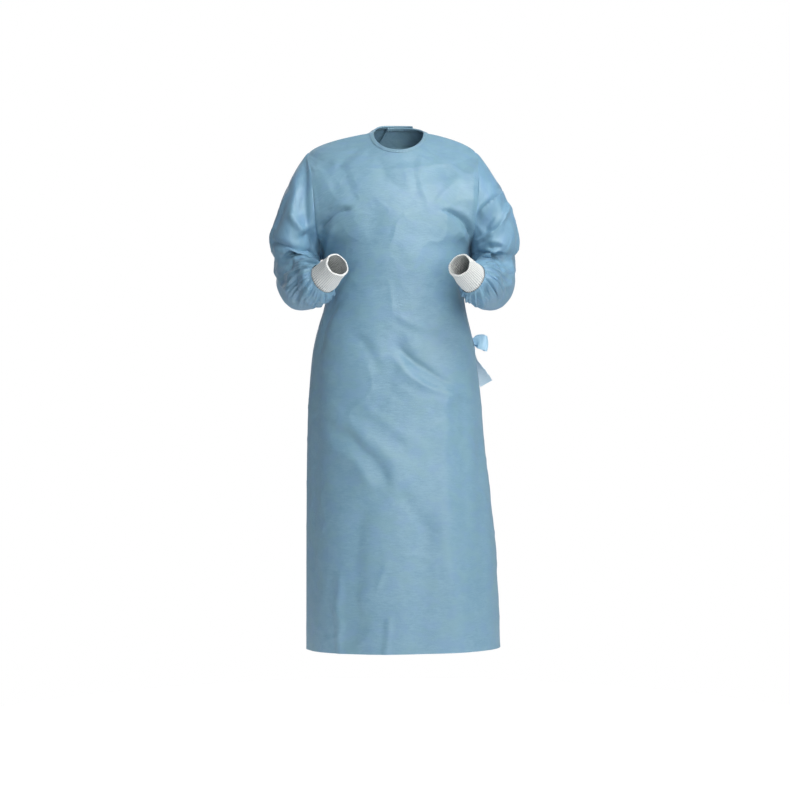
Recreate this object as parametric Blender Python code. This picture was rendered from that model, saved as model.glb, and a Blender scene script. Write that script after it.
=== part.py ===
"""A surgical gown, worn and hollow: one rigid shell of sewn cloth pieces with an open back.

Metres, +Z up. The front faces -Y and the wearer's left side is +X.
The origin is where the wearer's shoulders carry the gown: the neck's middle, level with the neck's sides.
"""

import math
from collections import namedtuple

import bpy
import numpy as np

# Driving sizes
WALL = 0.0016
GAP = 0.0003
LAP = 0.0035
NECK_LAP = 0.0085
EDGE_FLARE = 0.007
CUFF_LENGTH = 0.066
CUFF_WALL = 0.0020
CUFF_TUCK = 0.006
CUFF_END_RADIUS = 0.029
CUFF_RIBS = 26
RIB_HEIGHT = 0.0006
BINDING_WIDTH = 0.010
BINDING_WALL = 0.0008
BINDING_GAP = 0.0006
TAB_WALL = 0.0012
TAB_ROWS = (-4, -2)
TAB_COLUMNS = (8, 9, 10, 11, 12, 13)
STRAP_WALL = 0.0012

# Grid counts. The back's outer panel is its first OUTER_COLUMNS, and the inner one starts after INNER_START.
FRONT_COLUMNS = 20
BACK_COLUMNS = 15
OUTER_COLUMNS = 12
INNER_START = 5
LINE_POINTS = 241

# The direction that tells a rim's low end from its high end
RIM_ORDER = (0, 0.3, 1.0)

# A grid's edges that are sewn: the points themselves, and the next ones in from them
EDGES = {
    "first_column": (np.s_[:, 0], np.s_[:, 1]),
    "last_column": (np.s_[:, -1], np.s_[:, -2]),
    "first_row": (np.s_[0], np.s_[1]),
}
SEAMS = {
    "front": ("first_column", "last_column"),
    "back": ("first_column", "last_column"),
    "sleeve_right": ("first_row",),
    "sleeve_left": ("first_row",),
}

# Body sections from hem to neck. seam is the depth of the side seam and of the shoulder seam; the armhole
# opens before and behind it. inner_edge and outer_edge place the free edges of the two back panels.
Section = namedtuple(
    "Section",
    "name steps z_seam z_front z_back right left seam open_front open_back front back"
    " squareness round_front round_back turn inner_edge outer_edge",
)
SECTIONS = [
    Section("hem", 4, -1.236, -1.228, -1.236, -0.222, 0.247, 0.0, 0.0, 0.0, -0.190, 0.170,
            2.3, 2.0, 2.0, 9, 0.34, 0.93),
    Section("knee", 3, -0.960, -0.960, -0.960, -0.221, 0.230, 0.0, 0.0, 0.0, -0.176, 0.160,
            2.3, 2.0, 2.0, 7, 0.34, 0.93),
    Section("thigh", 2, -0.760, -0.760, -0.760, -0.219, 0.208, 0.0, 0.0, 0.0, -0.163, 0.152,
            2.3, 2.0, 2.0, 5, 0.34, 0.93),
    Section("hip", 1, -0.620, -0.620, -0.620, -0.214, 0.195, 0.0, 0.0, 0.0, -0.152, 0.144,
            2.3, 2.0, 2.0, 3, 0.34, 0.93),
    Section("belt", 2, -0.532, -0.532, -0.532, -0.206, 0.184, 0.0, 0.0, 0.0, -0.145, 0.131,
            2.3, 2.0, 2.0, 2, 0.35, 0.92),
    Section("waist", 2, -0.400, -0.400, -0.400, -0.174, 0.158, 0.005, 0.0, 0.0, -0.142, 0.112,
            2.3, 2.0, 2.0, 0, 0.37, 0.84),
    Section("underarm", 3, -0.305, -0.307, -0.305, -0.180, 0.169, 0.010, 0.0, 0.0, -0.150, 0.122,
            2.3, 1.9, 1.9, 0, 0.38, 0.76),
    Section("low_arm", 4, -0.250, -0.257, -0.247, -0.193, 0.178, 0.005, 0.070, 0.060, -0.150, 0.129,
            2.3, 1.3, 1.4, 0, 0.38, 0.73),
    Section("mid_arm", 4, -0.175, -0.200, -0.175, -0.200, 0.186, 0.002, 0.090, 0.082, -0.141, 0.131,
            2.3, 1.1, 1.2, 0, 0.38, 0.71),
    Section("high_arm", 3, -0.100, -0.150, -0.100, -0.208, 0.188, 0.004, 0.062, 0.058, -0.123, 0.123,
            2.3, 1.1, 1.2, 0, 0.37, 0.69),
    Section("shoulder", 4, -0.049, -0.106, -0.044, -0.215, 0.186, 0.008, 0.0, 0.0, -0.101, 0.108,
            2.2, 1.4, 1.4, 0, 0.37, 0.67),
    Section("neck_base", 1, -0.006, -0.078, -0.005, -0.096, 0.090, 0.010, 0.0, 0.0, -0.082, 0.090,
            2.1, 1.8, 1.8, 0, 0.36, 0.66),
    Section("neck", 0, 0.000, -0.051, 0.020, -0.061, 0.061, 0.012, 0.0, 0.0, -0.064, 0.072,
            2.1, 2.0, 2.0, 0, 0.36, 0.66),
]

# Sleeve stations from armhole to cuff. x is outward from the armhole, plus left_x on the left sleeve, and
# left_out adds to its outer reach. swing lifts the ring out of the armhole's plane, bend and yaw follow the
# elbow and the turn inward, gather is the height of the small pleats.
Station = namedtuple(
    "Station", "name steps x y z left_x left_out swing bend yaw out inner front back square gather"
)
STATIONS = [
    Station("armhole", 2, 0.004, 0.006, -0.178, 0.006, -0.004, 8, 0, 0, 0.13, 0.125, 0.09, 0.082, 2, 0),
    Station("head", 2, 0.026, 0.003, -0.204, 0.004, -0.016, 20, 0, 0, 0.096, 0.112, 0.092, 0.086, 2.1, 0),
    Station("cap", 3, 0.048, -0.002, -0.243, 0.002, -0.001, 36, 0, 0, 0.062, 0.092, 0.094, 0.088, 2.1, 0),
    Station("upper_arm", 3, 0.055, -0.006, -0.293, 0, -0.004, 60, 6, 0, 0.06, 0.066, 0.092, 0.088, 2.1, 0),
    Station("elbow_top", 3, 0.049, -0.013, -0.326, 0, 0, 78, 22, 4, 0.046, 0.05, 0.086, 0.094, 2.1, 0),
    Station("elbow", 3, 0.035, -0.04, -0.345, 0.003, 0, 90, 60, 10, 0.055, 0.045, 0.052, 0.088, 2.1, 0),
    Station("elbow_low", 3, 0.022, -0.08, -0.365, 0.004, 0, 90, 84, 16, 0.056, 0.05, 0.058, 0.066, 2, 0),
    Station("forearm", 3, 0.006, -0.124, -0.37, 0.006, 0, 92, 92, 24, 0.056, 0.051, 0.055, 0.057, 2, 0.001),
    Station("blouse", 2, -0.01, -0.167, -0.371, 0.01, 0, 92, 98, 34, 0.054, 0.05, 0.05, 0.053, 2, 0.0025),
    Station("gather", 2, -0.021, -0.19, -0.369, 0.014, 0, 92, 106, 41, 0.047, 0.043, 0.044, 0.047, 2, 0.003),
    Station("cuff_seam", 0, -0.028, -0.205, -0.364, 0.014, 0, 92, 112, 44, 0.036, 0.036, 0.036, 0.036, 2, 0),
]

# Folds as seen from the front or from behind: a line from (x0, z0) to (x1, z1), bowed sideways in its middle.
# height is outward for a ridge, and lean makes one flank wider than the other.
Fold = namedtuple("Fold", "pieces view x0 z0 x1 z1 bow width height lean")
FOLDS = [
    Fold("front", "front", -0.005, -0.500, 0.105, -0.632, 0.010, 0.026, -0.006, 0.2),
    Fold("front", "front", -0.010, -0.560, 0.130, -0.650, 0.012, 0.030, 0.007, 0.0),
    Fold("front", "front", -0.160, -0.690, 0.020, -0.830, -0.012, 0.040, 0.007, 0.2),
    Fold("front", "front", -0.145, -0.140, -0.185, -0.300, 0.012, 0.022, -0.007, 0.3),
    Fold("front", "front", 0.110, -0.185, 0.172, -0.290, -0.014, 0.022, -0.008, -0.3),
    Fold("back", "back", -0.140, -0.330, 0.060, -0.420, 0.010, 0.030, 0.007, 0.2),
    Fold("back", "back", 0.150, -0.300, -0.020, -0.400, -0.008, 0.028, 0.006, 0.0),
    Fold("back", "back", -0.120, -0.560, -0.150, -1.100, 0.015, 0.045, 0.010, 0.0),
    Fold("back", "back", 0.020, -0.600, 0.035, -1.180, -0.010, 0.045, 0.009, 0.2),
    Fold("sleeve_right", "front", -0.306, -0.268, -0.190, -0.300, 0.004, 0.013, -0.010, 0.3),
    Fold("sleeve_right", "front", -0.300, -0.292, -0.225, -0.322, 0.004, 0.016, 0.006, 0.0),
    Fold("sleeve_right", "front", -0.252, -0.205, -0.224, -0.255, 0.002, 0.014, 0.006, 0.0),
    Fold("sleeve_left", "front", 0.285, -0.300, 0.180, -0.290, -0.006, 0.013, -0.009, -0.3),
    Fold("sleeve_left", "front", 0.252, -0.150, 0.195, -0.210, 0.003, 0.015, 0.007, 0.0),
    Fold("sleeve_left", "front", 0.262, -0.185, 0.214, -0.265, 0.004, 0.015, 0.006, 0.2),
]
FOLD_END = 0.3

# The waist ties, at the wearer's left side. Columns are the back panels' own, rows are shares of the row
# above the belt, and lifts are the ties' distances from the body's surface.
BELT_ROWS = (0.04, 0.58)
TIE_BACK_COLUMNS = (9.6, 10, 10.5, 11, 11.26)
TIE_FRONT_COLUMNS = (11.94, 12, 13, 14, 14.6)
TIE_FRONT_LIFTS = (0.0105, 0.0100, 0.0045, 0.0006, 0.0006)
KNOT_COLUMN = 11.6
KNOT_SIZE = (0.026, 0.015, 0.032)

# The loop and the two loose ends, as points from the knot's middle. facing is the compass side of the strap's
# face: 0 looks forward, 90 to the wearer's left.
TiePoint = namedtuple("TiePoint", "piece x y z width facing")
TIE_POINTS = [
    TiePoint("tie_loop", 0.0118, -0.0090, 0.004, 0.014, 20),
    TiePoint("tie_loop", 0.0220, -0.0130, 0.006, 0.030, 5),
    TiePoint("tie_loop", 0.0340, -0.0150, 0.001, 0.036, 10),
    TiePoint("tie_loop", 0.0420, -0.0090, -0.002, 0.036, 90),
    TiePoint("tie_loop", 0.0340, -0.0010, 0.000, 0.035, 170),
    TiePoint("tie_loop", 0.0210, 0.0010, 0.002, 0.027, 180),
    TiePoint("tie_loop", 0.0112, 0.0020, 0.003, 0.016, 190),
    TiePoint("tie_end_front", 0.0070, -0.0022, -0.0168, 0.008, 122),
    TiePoint("tie_end_front", 0.0110, 0.0060, -0.038, 0.022, 130),
    TiePoint("tie_end_front", 0.0215, 0.0130, -0.066, 0.034, 145),
    TiePoint("tie_end_front", 0.0425, 0.0180, -0.099, 0.036, 155),
    TiePoint("tie_end_back", -0.0010, 0.0060, -0.0183, 0.008, 122),
    TiePoint("tie_end_back", -0.0060, 0.0200, -0.045, 0.024, 135),
    TiePoint("tie_end_back", -0.0140, 0.0330, -0.090, 0.036, 145),
    TiePoint("tie_end_back", -0.0220, 0.0430, -0.150, 0.036, 150),
]

CLOTH_BLUE = (0.24, 0.41, 0.52, 1.0)
TIE_BLUE = (0.37, 0.56, 0.72, 1.0)
KNIT_WHITE = (0.80, 0.82, 0.82, 1.0)


def unit(vectors):
    return vectors / np.maximum(np.linalg.norm(vectors, axis=-1, keepdims=True), 1e-12)


def smooth(t):
    t = np.clip(t, 0, 1)
    return t * t * (3 - 2 * t)


def spline(knots, values, at):
    """A smooth curve through the values, one for each knot, read at the places in `at`."""
    knots, values, at = (np.asarray(a, float) for a in (knots, values, at))
    slopes = np.gradient(values, knots)
    i = np.clip(np.searchsorted(knots, at, side="right") - 1, 0, len(knots) - 2)
    step = knots[i + 1] - knots[i]
    t = (at - knots[i]) / step
    rise = smooth(t)
    start = values[i] * (1 - rise) + slopes[i] * step * t * (1 - t) ** 2
    return start + values[i + 1] * rise - slopes[i + 1] * step * t * t * (1 - t)


def read(rows, level):
    """The table's values at a level, as a dictionary of its number columns."""
    knots = np.cumsum([0] + [row.steps for row in rows[:-1]])
    names = [name for name in rows[0]._fields if name not in ("name", "steps")]
    return {name: spline(knots, [getattr(row, name) for row in rows], level) for name in names}


def place_of(rows, name):
    """The level of a named row."""
    names = [row.name for row in rows]
    return sum(row.steps for row in rows[: names.index(name)])


def resample(line, shares):
    """Points of a polyline at shares of its length."""
    along = np.concatenate([[0], np.cumsum(np.linalg.norm(np.diff(line, axis=0), axis=1))])
    at = np.asarray(shares) * along[-1]
    return np.stack([np.interp(at, along, line[:, k]) for k in range(3)], axis=1)


def body_line(level, side, shares):
    """Points of the body's outline at a level, from the wearer's right edge to the left one."""
    get = read(SECTIONS, level)
    across = np.sin(np.linspace(-math.pi / 2, math.pi / 2, LINE_POINTS))
    bulge = (1 - np.abs(across) ** get["squareness"]) ** (1 / get["round_" + side])
    edge = get["seam"]
    if place_of(SECTIONS, "underarm") < level < place_of(SECTIONS, "shoulder"):
        edge += get["open_" + side] * (-1 if side == "front" else 1)
    x = (get["left"] + get["right"]) / 2 + (get["left"] - get["right"]) / 2 * across
    y = edge + (get[side] - edge) * bulge
    z = get["z_seam"] + (get["z_" + side] - get["z_seam"]) * bulge
    turn = math.radians(get["turn"])
    line = [x * math.cos(turn) - y * math.sin(turn), x * math.sin(turn) + y * math.cos(turn), z]
    return resample(np.stack(line, axis=1), shares)


def back_shares(level):
    """Where the back's columns stand: the inner panel's edge and the outer one's are two of them."""
    get = read(SECTIONS, level)
    marks = [0, INNER_START, OUTER_COLUMNS, BACK_COLUMNS]
    return np.interp(np.arange(BACK_COLUMNS + 1), marks, [0, get["inner_edge"], get["outer_edge"], 1])


def with_neck_row(grid):
    """The grid with one more row just below the neck binding."""
    row = grid[-1] + unit(grid[-2] - grid[-1]) * (BINDING_WIDTH + 0.002)
    return np.insert(grid, -1, row, axis=0)


def sleeve_ring(level, around, root):
    """One ring of the sleeve: first beside the body, then its front, its outer side and its back."""
    get = read(STATIONS, level)
    swing, bend, yaw = (math.radians(get[k]) for k in ("swing", "bend", "yaw"))
    out = np.array([math.sin(swing), 0, math.cos(swing)])
    front = np.array([0, -1.0, 0])
    front = front * math.cos(bend) - np.cross(out, front) * math.sin(bend)
    turn = np.array([[math.cos(yaw), math.sin(yaw), 0], [-math.sin(yaw), math.cos(yaw), 0], [0, 0, 1]])
    out, front = turn @ out, turn @ front
    c, s = -np.cos(2 * math.pi * around), np.sin(2 * math.pi * around)
    power = 2 / get["square"]
    c, s = np.sign(c) * np.abs(c) ** power, np.sign(s) * np.abs(s) ** power
    pleat = 1 + get["gather"] / get["out"] * np.cos(math.pi * np.arange(len(around)))
    reach_c = c * np.where(c > 0, get["out"] + (get["left_out"] if root > 0 else 0), get["inner"]) * pleat
    reach_s = s * np.where(s > 0, get["front"], get["back"]) * pleat
    centre = np.array([get["x"] + (get["left_x"] if root > 0 else 0), get["y"], get["z"]])
    ring = centre + reach_c[:, None] * out + reach_s[:, None] * front
    return ring * [math.copysign(1, root), 1, 1] + [root, 0, 0]


def sleeve(front_edge, back_edge):
    """The sleeve's rings, from the armhole's own points to the cuff's seam."""
    armhole = np.concatenate([front_edge[:-1], back_edge[:0:-1]])
    around = np.arange(len(armhole)) / len(armhole)
    blend_end = place_of(STATIONS, "head")
    rings = []
    for level in range(place_of(STATIONS, "cuff_seam") + 1):
        share = smooth(level / blend_end)
        rings.append(armhole * (1 - share) + sleeve_ring(level, around, armhole[:, 0].mean()) * share)
    return np.array(rings)


def quads_of(shape, around=False):
    """Corner indices of a grid's quads, (row, column) by row."""
    index = np.arange(shape[0] * shape[1]).reshape(shape)
    own = index if around else index[:, :-1]
    following = np.roll(index, -1, axis=1) if around else index[:, 1:]
    return np.stack([own[:-1], following[:-1], following[1:], own[1:]], axis=-1).reshape(-1, 4)


def seam_groups(grids):
    """One number for each point of each grid, the same for points that meet at a seam."""
    points = np.concatenate([grid.reshape(-1, 3) for grid, _, _ in grids.values()])
    _, group = np.unique(np.round(points, 6), axis=0, return_inverse=True)
    ends = np.cumsum([grid.shape[0] * grid.shape[1] for grid, _, _ in grids.values()])
    parts = np.split(group.reshape(-1), ends[:-1])
    return {name: part.reshape(grids[name][0].shape[:2]) for name, part in zip(grids, parts)}


def shared_normals(grids):
    """Outward normals of grids, {name: (points, around, flip)}, halfway between the pieces at their seams."""
    groups = seam_groups(grids)
    total = np.zeros((max(group.max() for group in groups.values()) + 1, 3))
    for name, (grid, around, flip) in grids.items():
        points, group = grid.reshape(-1, 3), groups[name].reshape(-1)
        quads = quads_of(grid.shape[:2], around)
        a, b, c, d = (points[quads[:, k]] for k in range(4))
        area = np.cross(c - a, d - b) * (-1 if flip else 1)
        own = np.zeros_like(total)
        for k in range(4):
            np.add.at(own, group[quads[:, k]], area)
        total += unit(own)
    total = unit(total)
    return {name: total[groups[name]] for name in grids}


def seam_moves(grids, seams):
    """Moves for the points at each grid's named seams, so that two pieces stand a gap apart there."""
    groups = seam_groups(grids)
    total = np.zeros((max(group.max() for group in groups.values()) + 1, 3))
    inward = {}
    for name, edges in seams.items():
        grid = grids[name][0]
        inward[name] = np.zeros_like(grid)
        for edge in edges:
            own, nearer = EDGES[edge]
            line = grid[own]
            if edge == "first_row":
                line = np.concatenate([line[-1:], line, line[:1]])
            tangent = unit(np.gradient(line, axis=0))
            if edge == "first_row":
                tangent = tangent[1:-1]
            across = grid[nearer] - grid[own]
            inward[name][own] = unit(across - tangent * (across * tangent).sum(axis=1, keepdims=True))
        np.add.at(total, groups[name].reshape(-1), inward[name].reshape(-1, 3))
    return {name: unit(own * 2 - total[groups[name]]) * GAP / 2 for name, own in inward.items()}


def fold_grid(name, grid, normals):
    """Moves a grid's points along their normals to make the folds that cross it, faded out at its seams."""
    x, z, facing = grid[..., 0], grid[..., 2], normals[..., 1]
    total = np.zeros(grid.shape[:2])
    for row in FOLDS:
        if name not in row.pieces:
            continue
        along = np.array([row.x1 - row.x0, row.z1 - row.z0])
        length = np.hypot(*along)
        along = along / length
        t = ((x - row.x0) * along[0] + (z - row.z0) * along[1]) / length
        aside = (x - row.x0) * along[1] - (z - row.z0) * along[0] - row.bow * 4 * t * (1 - t)
        width = row.width * np.where(aside > 0, 1 + row.lean, 1 - row.lean)
        ends = smooth((t + FOLD_END / 2) / FOLD_END) * smooth((1 + FOLD_END / 2 - t) / FOLD_END)
        seen = smooth((facing if row.view == "back" else -facing) * 2)
        total += row.height * np.exp(-((aside / width) ** 2)) * ends * seen
    rows, columns = grid.shape[:2]
    fade = np.ones(rows)
    if "sleeve" in name:
        fade = smooth(np.arange(rows) / 3) * smooth((rows - 1 - np.arange(rows)) / 4)
        total *= fade[:, None]
    else:
        total *= smooth((rows - 3 - np.arange(rows)) / 4)[:, None]
        total *= smooth(np.minimum(np.arange(columns), columns - 1 - np.arange(columns)) / 2)[None]
    return grid + normals * total[..., None]


def between(grid, row, column):
    """The grid's point at a fractional row and column."""
    i, j = min(int(row), grid.shape[0] - 2), min(int(column), grid.shape[1] - 2)
    u, v = row - i, column - j
    low = grid[i, j] * (1 - v) + grid[i, j + 1] * v
    high = grid[i + 1, j] * (1 - v) + grid[i + 1, j + 1] * v
    return low * (1 - u) + high * u


def patch(name, grid, normals, rows, columns, lifts, wall, finish):
    """A flat piece that lies on a panel: the panel's points at the rows and columns, moved out."""
    base = np.array([[between(grid, r, c) for c in columns] for r in rows])
    out = unit(np.array([[between(normals, r, c) for c in columns] for r in rows]))
    inner = base + out * np.asarray(lifts)[..., None]
    return solid(name, inner + out * wall, inner, finish, flip=True)


def strap(name, knot, finish):
    """A flat strap through its table's points, which start at the knot."""
    rows = [row for row in TIE_POINTS if row.piece == name]
    knots = np.arange(len(rows))
    at = np.linspace(0, len(rows) - 1, 3 * (len(rows) - 1) + 1)
    get = {key: spline(knots, [getattr(row, key) for row in rows], at) for key in TiePoint._fields[1:]}
    line = np.stack([get["x"], get["y"], get["z"]], axis=1) + knot
    facing = np.radians(get["facing"])
    face = np.stack([np.sin(facing), -np.cos(facing), 0 * facing], axis=1)
    along = unit(np.gradient(line, axis=0))
    across = unit(np.cross(face, along))
    out = np.cross(along, across)
    half = across * get["width"][:, None] / 2
    thick = out * STRAP_WALL / 2
    corners = [line - half - thick, line + half - thick, line + half + thick, line - half + thick]
    return loft(name, np.stack(corners, axis=1), finish)


def material(name, colour, roughness):
    made = bpy.data.materials.new(name)
    made.use_nodes = True
    shader = made.node_tree.nodes["Principled BSDF"]
    shader.inputs["Base Color"].default_value = colour
    shader.inputs["Roughness"].default_value = roughness
    shader.inputs["Metallic"].default_value = 0.0
    return made


def add_object(name, points, faces, finish):
    mesh = bpy.data.meshes.new(name)
    mesh.from_pydata(np.asarray(points).tolist(), [], [list(map(int, face)) for face in faces])
    mesh.materials.append(finish)
    mesh.shade_smooth()
    mesh.set_sharp_from_angle(angle=math.radians(50))
    made = bpy.data.objects.new(name, mesh)
    bpy.context.scene.collection.objects.link(made)
    return made


def solid(name, outer, inner, finish, around=False, flip=False):
    """A closed wall between an outer and an inner grid of points."""
    rows, columns = outer.shape[:2]
    index = np.arange(rows * columns).reshape(rows, columns)
    skin = quads_of((rows, columns), around)
    faces = [skin, skin[:, [2, 1, 0, 3]] + rows * columns]
    rim = [np.append(index[0], index[0, 0]) if around else index[0]]
    rim.append((np.append(index[-1], index[-1, 0]) if around else index[-1])[::-1])
    if not around:
        rim += [index[::-1, 0], index[:, -1]]
    # Two rims at a seam are split along the same diagonals, from a low outer corner to a high inner one.
    points = outer.reshape(-1, 3)
    for line in rim:
        a, b = line[:-1], line[1:]
        sides = np.stack([b, a, a + rows * columns, b + rows * columns], axis=-1)
        rising = (points[b] - points[a]) @ RIM_ORDER > 0
        sides[rising != flip] = np.roll(sides[rising != flip], -1, axis=1)
        faces.append(sides)
    faces = np.concatenate(faces)
    if flip:
        faces = faces[:, ::-1]
    return add_object(name, np.concatenate([outer.reshape(-1, 3), inner.reshape(-1, 3)]), faces, finish)


def loft(name, sections, finish, other_diagonal=None):
    """A closed solid through sections of the same number of points, with flat ends."""
    rows, columns = sections.shape[:2]
    faces = quads_of((rows, columns), around=True)
    if other_diagonal is not None:
        faces[other_diagonal.reshape(-1)] = np.roll(faces[other_diagonal.reshape(-1)], 1, axis=1)
    faces = faces.tolist()
    faces += [list(range(columns))[::-1], [(rows - 1) * columns + k for k in range(columns)]]
    return add_object(name, sections.reshape(-1, 3), faces, finish)


def cloth(name, outer, normals, finish, around=False, flip=False):
    return solid(name, outer, outer - normals * WALL, finish, around, flip)


def lap_offset(columns, levels):
    """How far the outer back panel stands off the body's surface, more where the neck bindings overlap."""
    rise = smooth(np.arange(columns + 1) / INNER_START)
    shoulder, neck_base = place_of(SECTIONS, "shoulder"), place_of(SECTIONS, "neck_base")
    neck = smooth((levels - shoulder) / (neck_base - shoulder))
    height = LAP + (NECK_LAP - LAP) * neck
    belt, thigh = place_of(SECTIONS, "belt"), place_of(SECTIONS, "thigh")
    low = smooth(1 - np.abs(levels - (belt + thigh) / 2 - 0.5) / (belt - thigh))
    flare = EDGE_FLARE * low[:, None] * smooth((np.arange(columns + 1) - columns + 2) / 2)
    return height[:, None] * rise + flare


def neck_binding(tops, finish):
    """A strip folded over the neckline. Each entry gives the edge's points, normals and the points below."""
    edge, normal, below = (np.concatenate([top[k] for top in tops]) for k in range(3))
    down = unit(below - edge)
    out = unit(normal - down * (normal * down).sum(axis=1, keepdims=True))
    g, w, t = BINDING_GAP, BINDING_WALL, WALL
    profile = [
        (BINDING_WIDTH, g + w),
        (-g - w, g + w),
        (-g - w, -t - g - w),
        (BINDING_WIDTH, -t - g - w),
        (BINDING_WIDTH, -t - g),
        (-g, -t - g),
        (-g, g),
        (BINDING_WIDTH, g),
    ]
    sections = np.stack([edge + down * a + out * b for a, b in profile], axis=1)
    # The binding's quads are split along the same diagonals as the panels' under them.
    rising = np.isin(np.arange(len(profile)), (0, 4))
    return loft("neck_binding", sections, finish, other_diagonal=np.tile(rising, (len(sections) - 1, 1)))


def cuff(name, ring, nearer, finish):
    """A ribbed knit tube that starts inside the sleeve's end and narrows to the wrist."""
    centre = ring.mean(axis=0)
    axis = unit(centre - nearer.mean(axis=0))
    side = unit(np.cross(axis, [0, 0, 1.0]))
    up = np.cross(side, axis)
    start_radius = np.linalg.norm(ring - centre, axis=1).min() - WALL - GAP - 0.0006 - RIB_HEIGHT
    count = 2 * CUFF_RIBS
    angle = 2 * math.pi * np.arange(count) / count
    around = np.cos(angle)[:, None] * side + np.sin(angle)[:, None] * up
    rib = RIB_HEIGHT * (np.arange(count) % 2)[:, None]
    outer, inner = [], []
    for share in (0, 0.14, 0.45, 0.92, 1):
        place = centre + axis * (share * (CUFF_LENGTH + CUFF_TUCK) - CUFF_TUCK)
        radius = start_radius + (CUFF_END_RADIUS - start_radius) * smooth(share)
        outer.append(place + around * (radius + rib * (0 < share)))
        inner.append(place + around * (radius - CUFF_WALL))
    return solid(name, np.array(outer), np.array(inner), finish, around=True, flip=True)


def fasteners(back, normals, lap, blue, tie):
    """The neck's hook-and-loop tab and the waist ties with their knot, loop and two loose ends."""
    rows = np.arange(back.shape[0])[TAB_ROWS[0] : TAB_ROWS[1] + 1 or None]
    lifts = [np.interp(TAB_COLUMNS, range(OUTER_COLUMNS + 1), lap[row]) for row in rows]
    drop = np.interp(TAB_COLUMNS, (OUTER_COLUMNS, OUTER_COLUMNS + 1), (1, 0))
    patch("neck_tab", back, normals, rows, TAB_COLUMNS, np.array(lifts) * drop + GAP, TAB_WALL, blue)

    belt = place_of(SECTIONS, "belt")
    rows = [belt + share for share in BELT_ROWS]
    lifts = [[between(lap, row, column) + 2 * GAP for column in TIE_BACK_COLUMNS] for row in rows]
    patch("tie_back", back, normals, rows, TIE_BACK_COLUMNS, lifts, STRAP_WALL, tie)
    patch("tie_front", back, normals, rows, TIE_FRONT_COLUMNS, [TIE_FRONT_LIFTS] * 2, STRAP_WALL, tie)

    row = sum(rows) / 2
    out = unit(between(normals, row, KNOT_COLUMN))
    up = unit(between(back, belt + 1, KNOT_COLUMN) - between(back, belt, KNOT_COLUMN))
    side = unit(np.cross(up, out))
    out = np.cross(side, up)
    wide, deep, tall = KNOT_SIZE
    lift = between(lap, row, KNOT_COLUMN) + deep / 2 + GAP
    knot = between(back, row, KNOT_COLUMN) + out * lift
    half = [(-0.5, 0.3), (-0.3, 0.5), (0.3, 0.5), (0.5, 0.3)]
    corners = half + [(-a, -b) for a, b in half]
    sections = []
    for height, size in ((-0.5, 0.75), (-0.2, 1.0), (0.2, 1.0), (0.5, 0.75)):
        middle = knot + up * height * tall
        sections.append([middle + side * (a * wide * size) + out * (b * deep * size) for a, b in corners])
    loft("tie_knot", np.array(sections), tie)
    for name in ("tie_loop", "tie_end_front", "tie_end_back"):
        strap(name, knot, tie)


def main():
    for old in list(bpy.data.objects):
        bpy.data.objects.remove(old)
    blue = material("cloth", CLOTH_BLUE, 0.7)
    white = material("knit", KNIT_WHITE, 0.9)
    tie = material("tie", TIE_BLUE, 0.7)

    levels = np.arange(place_of(SECTIONS, "neck") + 1)
    front_shares = np.arange(FRONT_COLUMNS + 1) / FRONT_COLUMNS
    front = np.array([body_line(level, "front", front_shares) for level in levels])
    back = np.array([body_line(level, "back", back_shares(level)) for level in levels])
    front, back = (with_neck_row(grid) for grid in (front, back))
    levels = np.append(levels, levels[-1])
    arm = slice(place_of(SECTIONS, "underarm"), place_of(SECTIONS, "shoulder") + 1)
    grids = {
        "front": (front, False, False),
        "back": (back, False, True),
        "sleeve_right": (sleeve(front[arm, 0], back[arm, 0]), True, False),
        "sleeve_left": (sleeve(front[arm, -1], back[arm, -1]), True, True),
    }
    normals = shared_normals(grids)
    for name, (grid, around, flip) in list(grids.items()):
        grids[name] = (fold_grid(name, grid, normals[name]), around, flip)
    normals = shared_normals(grids)
    moves = seam_moves(grids, SEAMS)
    grids = {name: (grid + moves[name], around, flip) for name, (grid, around, flip) in grids.items()}
    front, back = grids["front"][0], grids["back"][0]

    cloth("front", front, normals["front"], blue)
    outer_normals = normals["back"][:, : OUTER_COLUMNS + 1]
    lap = lap_offset(OUTER_COLUMNS, levels)
    lapped = back[:, : OUTER_COLUMNS + 1] + outer_normals * lap[..., None]
    cloth("back_outer", lapped, outer_normals, blue, flip=True)
    cloth("back_inner", back[:, INNER_START:], normals["back"][:, INNER_START:], blue, flip=True)
    for name in ("sleeve_right", "sleeve_left"):
        grid, around, flip = grids[name]
        cloth(name, grid, normals[name], blue, around, flip)
        cuff(name.replace("sleeve", "cuff"), grid[-1], grid[-2], white)
    n = normals["back"]
    neck_binding(
        [
            (back[-1, INNER_START:], n[-1, INNER_START:], back[-2, INNER_START:]),
            (front[-1, -2:0:-1], normals["front"][-1, -2:0:-1], front[-2, -2:0:-1]),
            (lapped[-1], outer_normals[-1], lapped[-2]),
        ],
        blue,
    )
    fasteners(back, normals["back"], lap, blue, tie)


if __name__ == "__main__":
    main()
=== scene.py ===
# %% [markdown]
# # A surgical gown, worn and empty
#
# This lesson dresses a plain model of a surgical gown in its real looks. The gown is sewn from thin blue
# nonwoven cloth: a front, two backs that wrap over each other, two long sleeves, white ribbed cuffs, a bound
# neckline, a neck tab and a waist tie that is knotted at the wearer's left side. Nobody is inside it, but it
# keeps the form it has when it is worn.
#
# The model's frame comes first. Every piece below is made in the same metres and on the same axes as that
# frame, so nothing has to be fitted afterwards.

# %% Load the frame
import math
from collections import namedtuple

import bpy
import numpy as np
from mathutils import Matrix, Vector, noise


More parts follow.
